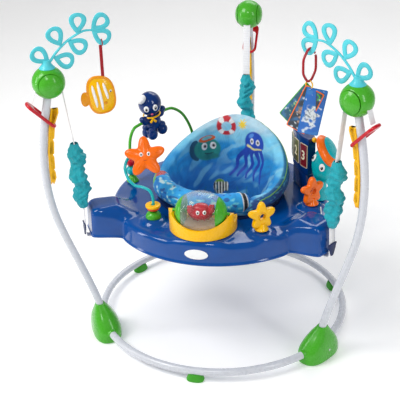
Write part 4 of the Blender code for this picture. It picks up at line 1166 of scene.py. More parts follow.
def smooth_corners(profile, radius):
    """A closed profile with each corner cut by a small round."""
    points, found = [Vector(point) for point in profile], []
    for i, point in enumerate(points):
        before, after = points[i - 1] - point, points[(i + 1) % len(points)] - point
        near = min(radius, before.length / 2.2, after.length / 2.2)
        first, last = point + before.normalized() * near, point + after.normalized() * near
        for t in (0, 0.33, 0.67, 1):
            found.append(tuple(first * (1 - t) ** 2 + point * 2 * t * (1 - t) + last * t * t))
    return found


def evenly(points, count):
    """Points at even steps round a closed line."""
    points = [Vector(point) for point in points]
    lengths = [(points[(i + 1) % len(points)] - point).length for i, point in enumerate(points)]
    found, total = [], sum(lengths)
    for number in range(count):
        left, i = total * number / count, 0
        while left > lengths[i]:
            left -= lengths[i]
            i += 1
        found.append(points[i].lerp(points[(i + 1) % len(points)], left / lengths[i]))
    return found


def swollen(shape, voxel, cap, pressure=4.0, frames=20):
    """The shape as stuffed cloth: blown up a little by a cloth simulation, no point moving further than
    cap."""
    obj = helper_mesh(shape)
    remesh = obj.modifiers.new("remesh", "REMESH")
    remesh.mode, remesh.voxel_size = "VOXEL", voxel
    even = taken(obj)
    obj = helper_mesh(even)
    count = len(obj.data.vertices)
    rest = np.empty(count * 3)
    obj.data.vertices.foreach_get("co", rest)
    cloth_made = obj.modifiers.new("cloth", "CLOTH")
    settings = cloth_made.settings
    settings.quality, settings.mass = 5, 0.3
    settings.use_pressure, settings.uniform_pressure_force = True, pressure
    settings.effector_weights.gravity = 0
    cloth_made.point_cache.frame_start, cloth_made.point_cache.frame_end = 1, frames
    scene = bpy.context.scene
    for number in range(1, frames + 1):
        scene.frame_set(number)
    mesh = obj.evaluated_get(bpy.context.evaluated_depsgraph_get()).to_mesh()
    blown = np.empty(count * 3)
    mesh.vertices.foreach_get("co", blown)
    scene.frame_set(1)
    move = (blown - rest).reshape(-1, 3)
    far = np.linalg.norm(move, axis=1, keepdims=True)
    move *= np.minimum(1, cap / np.maximum(far, 1e-9))
    faces = [tuple(face.vertices) for face in obj.data.polygons]
    bpy.data.objects.remove(obj)
    return subdivided(Shape(rest.reshape(-1, 3) + move, faces))


def subdivided(shape):
    obj = helper_mesh(shape)
    obj.modifiers.new("finer", "SUBSURF").levels = 1
    return taken(obj)


def round_patch(u, v, at, radius, edge=0.0025):
    return 1 - step(np.hypot(u - at[0], v - at[1]), radius - edge, radius + edge)


def oval_patch(u, v, at, half, turn=0.0, edge=0.06):
    c, s = math.cos(turn), math.sin(turn)
    a, b = (u - at[0]) * c + (v - at[1]) * s, -(u - at[0]) * s + (v - at[1]) * c
    return 1 - step(np.hypot(a / half[0], b / half[1]), 1 - edge, 1 + edge)


def line_patch(u, v, points, width):
    """Where a point is near a wavy line, which thins towards its end."""
    near = np.zeros(len(u))
    count = len(points) - 1
    for i, (a, b) in enumerate(zip(points, points[1:])):
        du, dv = b[0] - a[0], b[1] - a[1]
        t = np.clip(((u - a[0]) * du + (v - a[1]) * dv) / (du * du + dv * dv), 0, 1)
        away = np.hypot(u - a[0] - t * du, v - a[1] - t * dv)
        half = width * (1 - 0.6 * (i + t) / count)
        near = np.maximum(near, 1 - step(away, half - 0.0012, half + 0.0012))
    return near


def blend_tone(base, tone, share):
    return base * (1 - share[:, None]) + np.array(tone) * share[:, None]


def layered(tone, *layers):
    """The print with each (shade, share) blended over it in turn."""
    for shade, share in layers:
        tone = blend_tone(tone, colour(*shade), share)
    return tone


def seat_tone(points):
    """The seat's print: a sea that deepens downwards with a ring buoy, a sun, fish, a jellyfish and sea
    grass. Its outside flank is a blue, darker towards the bottom, with painted glints and painted shade at
    its foot."""
    x, y, z = points[:, 0], points[:, 1] - RING_Y, points[:, 2]
    azimuth, radius = np.degrees(np.arctan2(y, x)), np.hypot(x, y)
    across = -0.170 * np.radians((azimuth - 90 + 180) % 360 - 180)  # to the right, seen from the front
    swirl = dapple(points * np.array([1, 1, 1.6]), 17, 3.0) + 0.5 * dapple(points, 41, 7.0)
    stroke = dapple(np.stack([across * 0.7 + z * 0.5, z * 2.2 - across * 1.2, across * 0], 1), 20, 1.0)
    depth = step(z + 0.030 * swirl, 0.40, 0.595)
    tone = blend_tone(np.tile(np.array(colour(6, 112, 192)), (len(x), 1)), colour(20, 152, 224),
                      step(depth, 0.0, 0.30))
    tone = layered(
        tone,
        ((120, 208, 244), step(depth, 0.36, 0.70)),
        ((182, 218, 236), step(depth, 0.78, 1.0)),
        ((130, 212, 240), 0.45 * step(stroke, 0.10, 0.46)),
        ((4, 84, 168), 0.50 * step(-stroke, 0.16, 0.50) * (1 - 0.8 * depth)),
    )
    ray = step(np.sin(across * 46 - z * 34 + 2.6 * swirl), 0.45, 0.90)
    tone = blend_tone(tone, colour(150, 218, 242), 0.55 * ray * step(z + 0.5 * across, 0.38, 0.50))

    inside = np.maximum(1 - step(radius, 0.182, 0.188), 1 - step(z, 0.41, 0.42))
    drawn = tone.copy()
    u, v = across, z
    # ring buoy
    at = (-0.012, 0.562)
    ring = oval_patch(u, v, at, (0.0335, 0.0280)) * (1 - oval_patch(u, v, at, (0.0175, 0.0145)))
    angle = np.degrees(np.arctan2(v - at[1], u - at[0])) % 90
    drawn = layered(
        drawn,
        ((196, 30, 48), ring),
        ((238, 240, 242), ring * ((angle > 28) & (angle < 62))),
    )
    # sun
    at = (0.044, 0.572)
    away, turn = np.hypot(u - at[0], v - at[1]), np.arctan2(v - at[1], u - at[0])
    drawn = blend_tone(drawn, colour(250, 214, 60), 1 - step(away, 0.0100 + 0.004 * np.cos(9 * turn),
                                                             0.0140 + 0.004 * np.cos(9 * turn)))
    # green fish with a pale belly
    at = (-0.080, 0.490)
    for lift in (-0.013, 0.013):
        fin = (at[0] - 0.050, at[1] + lift)
        drawn = blend_tone(drawn, colour(14, 84, 120), oval_patch(u, v, fin, (0.024, 0.012),
                                                                  math.copysign(0.9, lift)))
    drawn = layered(
        drawn,
        ((30, 146, 140), oval_patch(u, v, at, (0.047, 0.036))),
        ((24, 122, 124), oval_patch(u, v, (at[0] + 0.012, at[1] - 0.024), (0.030, 0.010), edge=0.3)),
        ((226, 96, 40), oval_patch(u, v, (at[0], at[1] + 0.034), (0.030, 0.0095), 0.12)),
        ((120, 200, 210), oval_patch(u, v, (at[0], at[1] + 0.036), (0.019, 0.0050), 0.12)),
    )
    for side in (-0.010, 0.021):
        drawn = layered(
            drawn,
            ((248, 248, 248), oval_patch(u, v, (at[0] + side, at[1] + 0.010), (0.0105, 0.0115))),
            ((12, 16, 26), round_patch(u, v, (at[0] + side + 0.002, at[1] + 0.010), 0.0052)),
        )
    smile = [(at[0] - 0.008 + 0.006 * k,
              at[1] - 0.013 - 0.0030 * (1 - (k - 2.5) ** 2 / 6.25)) for k in range(6)]
    drawn = blend_tone(drawn, colour(10, 60, 70), line_patch(u, v, smile, 0.0022))
    # jellyfish: a dome and five wavy arms
    at = (0.096, 0.522)
    for number in range(5):
        start = (at[0] - 0.030 + 0.015 * number, at[1] - 0.008)
        arm = [(start[0] - 0.0022 * k * (3 - number) + 0.0075 * math.sin(1.1 * k + number),
                start[1] - 0.0115 * k)
               for k in range(10)]
        drawn = blend_tone(drawn, colour(16, 66, 176), line_patch(u, v, arm, 0.0098))
    dome = oval_patch(u, v, at, (0.041, 0.036)) * step(v, at[1] - 0.014, at[1] - 0.009)
    drawn = layered(
        drawn,
        ((20, 74, 188), dome),
        ((84, 146, 228), oval_patch(u, v, (at[0] - 0.016, at[1] + 0.021), (0.012, 0.006), 0.6, 0.3)),
    )
    for side in (-0.012, 0.012):
        drawn = layered(
            drawn,
            ((248, 248, 248), oval_patch(u, v, (at[0] + side, at[1] + 0.004), (0.0082, 0.0095))),
            ((12, 16, 26), round_patch(u, v, (at[0] + side, at[1] + 0.004), 0.0042)),
        )
    band = line_patch(u, v, [(at[0] - 0.030, at[1] - 0.014), (at[0], at[1] - 0.020),
                             (at[0] + 0.030, at[1] - 0.014)], 0.0045)
    drawn = blend_tone(drawn, colour(236, 226, 150), band)
    # striped fish
    at = (-0.040, 0.372)
    body = np.maximum(oval_patch(u, v, at, (0.026, 0.024)), oval_patch(u, v, (at[0] + 0.028, at[1]),
        (0.010, 0.016)))
    stripes = step(np.sin((u - at[0]) * 520), -0.15, 0.15)
    drawn = layered(
        drawn,
        ((236, 238, 224), body),
        ((18, 26, 30), body * stripes),
        ((116, 176, 60), body * step(v, at[1] + 0.012, at[1] + 0.018)),
    )
    # sea grass
    for number in range(7):
        start = -0.150 + 0.047 * number
        blade = [(start + 0.006 * math.sin(0.9 * k + number),
                  0.322 + 0.0075 * k) for k in range(7 + number % 3)]
        drawn = blend_tone(drawn, colour(16, 120, 150), 0.7 * line_patch(u, v, blade, 0.0050))
    tone = tone * (1 - inside[:, None]) + drawn * inside[:, None]

    outside = step(radius, 0.186, 0.191) * step(z, 0.41, 0.42)
    # the outside flank: a blue, darker towards the bottom
    flank_with_painted_glint_and_shade = blend_tone(np.tile(np.array(colour(16, 70, 140)), (len(x), 1)), colour(20, 128, 176),
                       step(z + 0.02 * swirl, 0.45, 0.53))
    # painted glints: pale streaks on the outside flank that stand in for highlights
    glint = step(dapple(np.stack([azimuth * 0.004, z * 3.0, z * 0], 1), 60, 4.0), 0.15, 0.42)
    flank_with_painted_glint_and_shade = layered(
        flank_with_painted_glint_and_shade,
        ((88, 186, 210), 0.7 * glint),
        # painted shade: a near-black band at the foot of the outside flank
        ((18, 24, 40), 0.85 * (1 - step(z + 0.006 * swirl, 0.424, 0.444))),
    )
    tone = tone * (1 - outside[:, None]) + flank_with_painted_glint_and_shade * outside[:, None]
    return blend_tone(tone, colour(16, 40, 84), 1 - step(z, 0.270, 0.300))


ROLL_MIDDLE, ROLL_HALF = 247, 66  # azimuths of the front roll's middle and half its sweep
ROLL_CENTRE = (0.1635, 0.4535)  # its middle line, as (radius, height)
ROLL_HALF_SIZE = (0.0275, 0.0335)


def build_roll():
    """The padded roll across the front of the seat."""
    rows, count = [], 150
    for i in range(count + 1):
        share = 2 * i / count - 1
        azimuth = ROLL_MIDDLE + ROLL_HALF * share
        end = math.sqrt(max(1 - abs(share) ** 12, 0)) * 0.96 + 0.04
        row = []
        for j in range(36):
            a = math.tau * j / 36
            dimple = 0.0009 * math.sin(azimuth * 0.9) + 0.0008 * math.sin(azimuth * 2.3 + 2)
            across, over = (ROLL_HALF_SIZE[0] + dimple) * end, (ROLL_HALF_SIZE[1] + dimple) * end
            radius = ROLL_CENTRE[0] + 0.008 * float(step(-share, 0.2, 0.8)) + across * math.cos(a)
            row.append(polar(azimuth, radius, ROLL_CENTRE[1] + over * math.sin(a)))
        rows.append(row)
    roll = piece("seat_front_roll", swollen(grid(rows), CLOTH_VOXEL, ROLL_SWELL).of(SEAT_CLOTH_PRINT_AND_PAINTED_LIGHT), sharp=180)
    paint(roll, roll_tone)
    place(roll, "seat", "seat_fabric")


def roll_tone(points):
    """Short brush strokes of cyan, white and navy on blue, and a patch of red coral with a green frond."""
    x, y, z = points[:, 0], points[:, 1] - RING_Y, points[:, 2]
    azimuth, radius = np.degrees(np.arctan2(y, x)) % 360, np.hypot(x, y)
    along, round_it = azimuth * 0.0032, np.arctan2(z - ROLL_CENTRE[1], radius - ROLL_CENTRE[0])
    slant = np.stack([along * 2.6 + round_it * 0.036, round_it * 0.12 - along * 0.9, along * 0], 1)
    dash, dark, cloud = dapple(slant, 24, 2.0), dapple(slant, 19, 9.0), dapple(points, 22, 5.0)
    tone = blend_tone(np.tile(np.array(colour(28, 164, 236)), (len(x), 1)), colour(16, 130, 218),
                      step(cloud, 0, 0.4))
    tone = layered(
        tone,
        ((96, 204, 242), step(dash, 0.16, 0.26)),
        ((208, 236, 244), step(dash, 0.38, 0.46)),
        ((14, 60, 146), 0.75 * step(dark, 0.40, 0.48)),
    )
    u, v = (azimuth - 192) * 0.0030, round_it * 0.026 - 0.030
    frond = line_patch(u, v, [(0.028, -0.020), (0.014, -0.010), (0.004, -0.012), (-0.012, -0.006),
                              (-0.03, -0.012)], 0.006)
    tone = blend_tone(tone, colour(120, 196, 90), frond)
    strap = 1 - step(np.abs(azimuth - 305), 2.6, 3.0)
    tone = layered(
        tone,
        ((236, 238, 240), strap),
        ((16, 20, 30), 1 - step(np.abs(azimuth - 305), 1.6, 2.0)),
    )
    coral = np.maximum.reduce([round_patch(u, v, at, 0.012) for at in ((0, 0.004), (0.013, 0.000),
        (-0.012, 0.001))])
    tone = blend_tone(tone, colour(196, 30, 46), coral)
    dots = step(np.sin(u * 900) * np.sin(v * 900), 0.35, 0.6)
    return blend_tone(tone, colour(244, 200, 200), coral * dots * 0.9)


def build_seat_trim(seat):
    """Piping sewn round the seat's outer edge, found on the stuffed surface."""
    mesh = seat.data
    tree = BVHTree.FromPolygons([v.co for v in mesh.vertices], [tuple(p.vertices) for p in mesh.polygons])
    for name, start, end, material in (("left", 76, 178, PIPING_BLUE), ("right", -44, 75, PIPING_GREEN)):
        line = []
        for i in range(121):
            azimuth = start + (end - start) * i / 120
            profile = seat_column(azimuth)
            middle = Vector(profile[10])
            found = tree.find_nearest(polar(azimuth, middle.x + 0.012, middle.y + 0.004))[0]
            line.append(found)
        piece("seat_piping_" + name, tube(line, 0.0015, material, 10), "seat", "seat_fabric")


# Toys on the tray


def rounded(shape, bevel=0.0012, angle=35):
    """The shape with its sharp edges rounded."""
    obj = helper_mesh(shape)
    edges = obj.modifiers.new("edges", "BEVEL")
    edges.width, edges.segments, edges.limit_method = bevel, 3, "ANGLE"
    edges.angle_limit = math.radians(angle)
    return taken(obj, shape.material)


def cylinder(radius, low, high, matrix=None, material=None, steps=96):
    return lathe([(0, high), (radius, high), (radius, low), (0, low)], matrix, material, steps)


def barrel(along, inset=0.0):
    return WINDOW_RADIUS * math.sqrt(1 - (along / DRUM_HALF_LENGTH) ** 2) - inset, along


def build_drum():
    """A clear drum with green ends that turns in a yellow cradle, a crab on its axle, and sand at its
    bottom."""
    centre = from_ring(*TOY_DRUM)
    sideways = aimed(centre, (1, 0, 0), (0, 0, 1))
    low, lip, scoop_radius = PLAY_HEIGHT + 0.0043, -0.031, 0.125
    block_at = Matrix.Translation(from_ring(TOY_DRUM[0] - 0.003, TOY_DRUM[1] + 0.034, 0))
    block = cylinder(0.0950, low, centre.z - 0.002, block_at, YELLOW)
    behind = rounded_box((0.3, 0.1, 0.3), (centre.x, centre.y + 0.062, centre.z + 0.118), None, None,
                         0.004, 3)
    scoop_at = aimed(centre + Vector((0, 0, lip + scoop_radius)), (0, 1, 0), (1, 0, 0))
    well = ball((WINDOW_RADIUS + 0.002, WINDOW_RADIUS + 0.002, DRUM_HALF_LENGTH + 0.002), (0, 0, 0),
                sideways, None, 72)
    cradle = cut(block, cylinder(0.210, low - 0.01, 0.6, around(0), None, 160), behind, well,
                 cylinder(0.0054, -0.081, 0.081, sideways, None, 24),
                 cylinder(scoop_radius, -0.15, 0.15, scoop_at))
    piece("drum_cradle", rounded(cradle, 0.0012, 50), "tray", "yellow_plastic", ["drum_base"])

    inner = WINDOW_HALF + 0.0003
    caps = [barrel(inner + (0.069 - inner) * i / 16) for i in range(17)]
    rib = [(r - (0.0007 if i in (2, 3) else 0), z) for i, (r, z) in enumerate(caps)]
    half = [(0, 0.0800), (0.0042, 0.0800), (0.0045, 0.0795), (0.0045, 0.0727), *rib[::-1], (0.0060, inner)]
    spool = half + [(r, -z) for r, z in half[::-1]]
    piece("drum_ends_and_axle", lathe(spool, sideways, GREEN, 80), "drum", "green_plastic", ["drum_spool"])
    stations = [WINDOW_HALF * (1 - 2 * i / 24) for i in range(25)]
    wall = [barrel(z) for z in stations] + [barrel(z, 0.0025) for z in stations[::-1]]
    piece("drum_clear_window", lathe(wall, sideways, CLEAR, 96, closed=True), "drum", "clear_plastic",
          ["drum_window"])

    inside = lathe([(0, WINDOW_HALF - 0.001)] + [barrel(z, 0.0031) for z in (s * 0.975 for s in stations)]
                   + [(0, -WINDOW_HALF + 0.001)], sideways, SAND, 72)
    above = rounded_box((0.2, 0.2, 0.1), (0, 0, 0.1 / 2 - 0.0360), Matrix.Translation(centre), None,
                        0.0005, 1)
    piece("drum_sand", cut(inside, above), "tray", "clear_plastic")

    lumps = [ball((0.0365, 0.0215, 0.0215), (0, -0.002, -0.001)),
             ball((0.024, 0.019, 0.015), (0, -0.003, 0.012))]
    for side in (-1, 1):
        lumps += [ball((0.0095, 0.0085, 0.0115), (side * 0.0295, -0.012, 0.0115)),
                  ball((0.0045, 0.0050, 0.0065), (side * 0.0335, -0.014, 0.0215)),
                  ball((0.0045, 0.0050, 0.0060), (side * 0.0265, -0.014, 0.0225))]
        lumps += [ball((0.0052, 0.0046, 0.0080), (side * (0.010 + 0.009 * k), -0.004,
                                                  -0.0190 + 0.003 * k)) for k in range(2)]
    at = Matrix.Translation(centre) @ Matrix.Rotation(math.radians(14), 4, "Z")
    crab = [blob([lump.moved(at) for lump in lumps], RED, 0.0013, 5)]
    for side in (-1, 1):
        crab += eye(at @ Vector((side * 0.0092, -0.0218, 0.0080)),
                    at.to_3x3() @ Vector((side * 0.12, -1, 0.42)), 0.0050)
    smile = [at @ Vector((0.0066 * t, -0.0242 + 0.0010 * t * t, -0.0035 + 0.0020 * t * t)) for t in (-1,
        -0.5, 0, 0.5, 1)]
    crab.append(tube(smile, [0.0004, 0.0008, 0.0009, 0.0008, 0.0004], DARK_RED, 8))
    piece("drum_sea_crab", crab, "drum", "red_plastic", ["drum_crab"])


def ring_star(outline, hole, thickness, matrix, material, rings=14):
    """A crowned star with a round hole through it."""
    rows = []
    for i in range(rings + 1):
        share = i / rings
        reach = 0.5 - 0.5 * math.cos(math.pi * share)
        height = thickness / 2 * (1 - abs(2 * reach - 1) ** 5) ** 0.5
        row = []
        for point in outline:
            point = Vector(point)
            flat = point.normalized() * hole * (1 - reach) + point * reach
            row.append((flat.x, flat.y, height))
        rows.append(row)
    rows += [[(x, y, -z) for x, y, z in row] for row in rows[-2:0:-1]]
    return grid(rows, material, closed=True).moved(matrix)


def star_post(name, node, azimuth, radius, facing, star_radius, material, slot):
    low, height = PLAY_HEIGHT + 0.0103, PLAY_HEIGHT + 0.052
    shift = Matrix.Translation(polar(azimuth, radius, 0) - from_ring(0, 0, 0))
    at = shift @ upright_plane(facing + 90) @ Matrix.Translation((0, height, 0))
    foot = [(0, low + 0.0195), (0.0110, low + 0.0190), (0.0128, low + 0.0150), (0.0150, low + 0.0080),
            (0.0192, low + 0.0036), (0.0200, low + 0.0020), (0.0196, low), (0, low)]
    rim = [(0.0086, 0.0092), (0.0106, 0.0094), (0.0112, 0.0082), (0.0086, 0.0078)]
    shapes = [ring_star(star_outline(star_radius), 0.0088, 0.0172, at, material),
              lathe(foot, Matrix.Translation(polar(azimuth, radius, 0)), material, 40),
              lathe(rim, at, material, 40, closed=True)]
    piece(name, shapes, "tray", slot, [node])


def build_posts():
    star_post("yellow_star_post", "star_post_yellow", *YELLOW_POST, 0.042, YELLOW, "yellow_plastic")
    star_post("orange_star_post", "star_post_orange", *ORANGE_POST, 0.043, ORANGE, "orange_plastic")


def build_stalk():
    """A wavy stalk on a green dome, two small discs that turn on it, and a smiling star that spins on
    its end."""
    foot = Matrix.Translation(from_ring(*STALK_FOOT, 0))
    low = PLAY_HEIGHT + 0.0103
    route = [
        (*STALK_FOOT, 0.428), (*STALK_FOOT, 0.450), (-0.148, -0.206, 0.478), (-0.157, -0.203, 0.501),
        (-0.180, -0.196, 0.508), (-0.205, -0.188, 0.508), (-0.226, -0.180, 0.524), (-0.238, -0.166, 0.550),
        (-0.232, -0.146, 0.572), (-0.209, -0.133, 0.576), STAR_CENTRE - STAR_NORMAL * 0.019,
    ]
    path = [from_ring(*point) for point in [*smooth(route, 10), STAR_CENTRE + STAR_NORMAL * 0.0075]]
    dome = [(0, low + 0.0210)] + [(0.0225 * math.sin(a), low + 0.002 + 0.0190 * math.cos(a))
                                  for a in (math.pi / 2 * i / 12 for i in range(1, 13))] + [(0.0222, low),
                                      (0, low)]
    shapes = [tube(path, 0.0042, TEAL, 20), lathe(dome, foot, GREEN, 48)]
    piece("wavy_stalk", shapes, "tray", "teal_plastic", ["star_stalk"])
    upper = smooth_corners([(0.0215, 0.4625), (0.0215, 0.4548), (0.0056, 0.4548), (0.0056, 0.4625)], 0.0022)
    lower = smooth_corners([(0.0176, 0.4546), (0.0170, 0.4472), (0.0056, 0.4472), (0.0056, 0.4546)], 0.0020)
    rib = [(0.0150, 0.4632), (0.0158, 0.4628), (0.0152, 0.4612), (0.0142, 0.4612), (0.0140, 0.4628)]
    discs = [lathe(upper, foot, YELLOW, 56, closed=True), lathe(lower, foot, ORANGE_RED, 56, closed=True),
             lathe(rib, foot, YELLOW, 56, closed=True)]
    piece("turning_discs", discs, "disc", "yellow_plastic", ["stalk_disc"])

    at = aimed(from_ring(*STAR_CENTRE), STAR_NORMAL, (0, 0, 1)) @ Matrix.Rotation(math.radians(3), 4, "Z")
    star = [puffy(star_outline(0.0585, 120, 0, 0.28), 0.0225, at, ORANGE, 0.45, rings=16)]
    for k in range(5):
        a = math.tau * k / 5
        arm = [at @ Vector((r * math.cos(a), r * math.sin(a), h)) for r,
               h in ((0.022, 0.0082), (0.034, 0.0072), (0.045, 0.0052))]
        star.append(tube(arm, [0.0022, 0.0030, 0.0016], ORANGE, 12))
    for side in (-1, 1):
        star += eye(at @ Vector((0.0070, side * 0.0105, 0.0102)),
                    at.to_3x3() @ Vector((0.08, side * 0.05, 1)), 0.0050,
                    at.to_3x3() @ Vector((1, 0, 0)))
    smile = [at @ Vector((-0.0075 - 0.0030 * (1 - t * t), 0.0085 * t, 0.0104)) for t in (-1, -0.6, -0.2,
        0.2, 0.6, 1)]
    star.append(tube(smile, [0.0004, 0.0008, 0.0010, 0.0010, 0.0008, 0.0004], DARK_ORANGE, 8))
    piece("smiling_star", star, "star", "orange_plastic", ["stalk_star"])


def build_arch():
    near, far = (Vector(foot) for foot in ARCH_FEET)
    span = (far - near).length
    direction, low, bar = (far - near) / span, PLAY_HEIGHT + 0.0003, OCTOPUS_BAR
    reach = (Vector((bar.x, bar.y)) - near).dot(direction)
    profile = [
        (0.000, low + 0.010), (-0.004, 0.450), (-0.005, 0.500), (0.000, 0.550), (0.016, 0.578),
        *((reach + along, bar.z + along * BAR_SLOPE) for along in (-0.056, -0.042, 0.042, 0.056)),
        (0.180, 0.597), (0.220, 0.566), (0.252, 0.510), (span, 0.450), (span, low + 0.010),
    ]
    path = [from_ring(*(near + direction * p.x), p.y) for p in smooth([Vector(p) for p in profile], 8)]
    cone = [(0, low + 0.0200), (0.0062, low + 0.0200), (0.0105, low + 0.0175), (0.0128, low + 0.0120),
            (0.0178, low + 0.0040), (0.0192, low + 0.0020), (0.0190, low), (0, low)]
    shapes = [tube(path, 0.0046, GREEN, 24)]
    shapes += [lathe(cone, Matrix.Translation(from_ring(*foot, 0)), GREEN, 40) for foot in (near, far)]
    on_leg = near - direction * 0.0045
    for height, radius, material in ((0.4490, 0.0150, TEAL), (0.4770, 0.0142, RED)):
        bead = [(0.0050, radius * 0.86), (radius * 0.62, radius * 0.80), (radius * 0.92, radius * 0.42),
                (radius, 0),
                (radius * 0.92, -radius * 0.42), (radius * 0.62, -radius * 0.80), (0.0050, -radius * 0.86)]
        at = Matrix.Translation(from_ring(*on_leg, height))
        shapes.append(lathe([tuple(p) for p in smooth([Vector(p) for p in bead], 5)], at, material, 40,
                            closed=True))
    piece("bead_arch", shapes, "tray", "green_plastic", ["toy_arch"])
    build_octopus(Vector((*direction, BAR_SLOPE)).normalized())


def build_octopus(along_bar):
    """A glossy octopus threaded on the bar: a big head, a scarf, and bead-like arms. X is up in its
    frame."""
    at = aimed(from_ring(*OCTOPUS_BAR), along_bar, (0, 0, 1))
    lumps = [ball((0.0375, 0.0345, 0.0360), (0.048, 0, 0)), ball((0.020, 0.024, 0.025), (0.030, 0, 0)),
             ball((0.028, 0.0225, 0.0260), (-0.014, 0, 0))]
    for side in (-1, 1):
        lumps += [ball((0.0140, 0.0140, 0.0150), (0.002, 0, side * 0.0310)),
                  ball((0.0095,) * 3, (0.012, 0.003, side * 0.0420))]
    for number in range(4):
        a = math.tau * (number + 0.5) / 4
        lumps.append(ball((0.0175, 0.0150, 0.0170), (-0.047, 0.0175 * math.cos(a), 0.0290 * math.sin(a))))
        lumps.append(ball((0.0110, 0.0110, 0.0115), (-0.030, 0.0200 * math.cos(a), 0.0300 * math.sin(a))))
    shapes = [blob([lump.moved(at) for lump in lumps], ROYAL, 0.0016, 4)]
    front = at.inverted().to_3x3() @ Vector((0.35, -0.92, 0.10))
    front = Vector((0, front.y, front.z)).normalized()
    side = Vector((1, 0, 0)).cross(front)
    for turn in (-1, 1):
        facing = (front + side * turn * 0.42 + Vector((0.10, 0, 0))).normalized()
        spot = Vector((0.043, 0, 0)) + Vector((facing.x * 0.0375, facing.y * 0.0345,
                                               facing.z * 0.0360)) * 0.985
        shapes += eye(at @ spot, at.to_3x3() @ facing, 0.0082, at.to_3x3() @ Vector((1, 0, 0)))
    mouth = Vector((0.026, 0, 0)) + front * 0.0312
    shapes.append(ball((0.0028, 0.0040, 0.0020), (0, 0, 0), aimed(at @ mouth, at.to_3x3() @ front,
                                                                  at.to_3x3() @ Vector((1, 0, 0))), PINK,
                                                                  16))
    scarf = [at @ Vector((0.0110, 0.0245 * math.cos(a),
                          0.0262 * math.sin(a))) for a in (math.tau * i / 48 for i in range(48))]
    knot = at @ (Vector((0.0085, 0, 0)) + front * 0.0275)
    shapes += [tube(scarf, 0.0026, YELLOW, 12, closed=True), ball(0.0042, knot, None, YELLOW, 16)]
    for turn in (-1, 1):
        tail = at @ (Vector((-0.002, 0, 0)) + front * 0.0270 + side * turn * 0.0075)
        shapes.append(tube([knot, (knot + tail) / 2 + at.to_3x3() @ front * 0.002, tail],
                           [0.0022, 0.0032, 0.0040], YELLOW, 12))
    cap_at = at @ (Vector((0.0765, 0, 0)) - side * 0.0235 + front * 0.0200)
    away = at.to_3x3() @ (Vector((0.8, 0, 0)) - side * 0.6)
    shapes.append(ball((0.0155, 0.0165, 0.0120), (0, 0, 0), aimed(cap_at, away), WHITE_PLASTIC, 32))
    piece("swinging_octopus", shapes, "octopus", "blue_plastic", ["octopus"])


def piano_frame():
    """X towards the seat's side where the keys are, Y along the keyboard, Z up."""
    return Matrix.Translation(from_ring(*PIANO_CENTRE, 0)) @ Matrix.Rotation(math.radians(PIANO_FACING),
        4, "Z")


def key_frame(number):
    turn = math.radians(13.5) * (number - 2)
    middle = Vector((PIANO_BEND * math.cos(turn) - PIANO_BEND + 0.022, PIANO_BEND * math.sin(turn), 0.536))
    return piano_frame() @ Matrix.Translation(middle) @ Matrix.Rotation(turn, 4, "Z")


# text that reads upright on a key
FACE_TURN = Matrix(((0, 0, 1, 0), (1, 0, 0, 0), (0, 1, 0, 0), (0, 0, 0, 1)))


def build_piano():
    low, shoulder, high, face = PLAY_HEIGHT + 0.0003, 0.476, 0.592, 0.022
    front = arc((face - PIANO_BEND, 0), PIANO_BEND, -19.5, 19.5, 40)
    back = [tuple(p) for p in smooth([Vector(p) for p in ((-0.014, 0.056), (-0.020, 0.030), (-0.021, 0),
                                                          (-0.020, -0.030), (-0.014, -0.056))], 6)]
    body = plate([front + back], high - shoulder,
                 piano_frame() @ Matrix.Translation((0, 0, (shoulder + high) / 2)), ROYAL, 0.0040)
    pockets = [rounded_box((0.030, 0.0350, 0.0716), (0.003, 0, 0), key_frame(n), None, 0.0015,
                           2) for n in (1, 2, 3)]
    shapes = [cut(body, *pockets)]
    shapes.append(rounded_box((0.030, 0.098, shoulder + 0.01 - low), (0, 0, (shoulder + 0.01 + low) / 2),
                              piano_frame(), ROYAL, 0.005))
    for number in (1, 2, 3):
        outline = rounded_rectangle(0.0178, 0.0362, 0.0030, count=6)
        hole = rounded_rectangle(0.0164, 0.0348, 0.0022, count=6)
        at = key_frame(number) @ Matrix.Translation((0.0008, 0, 0)) @ FACE_TURN
        shapes.append(plate([outline, hole], 0.0022, at, CREAM, 0.0005))
    piece("piano_case", shapes, "tray", "blue_plastic", ["piano_housing"])
    for number, material, slot in ((1, KEY_GREEN, "green_plastic"), (2, KEY_OLIVE, "yellow_plastic"),
                                   (3, KEY_RED, "red_plastic")):
        at = key_frame(number)
        key = [rounded_box((0.0075, 0.0318, 0.0684), (-0.0008, 0, 0), at, material, 0.0014)]
        key.append(number_shape(str(number), 0.040, at @ Matrix.Translation((0.0031, 0, 0)) @ FACE_TURN,
                                CREAM, 0.0006))
        piece(f"number_key_{number}", key, "key_" + str(number), slot, [f"piano_key_{number}"])
    build_turtle()


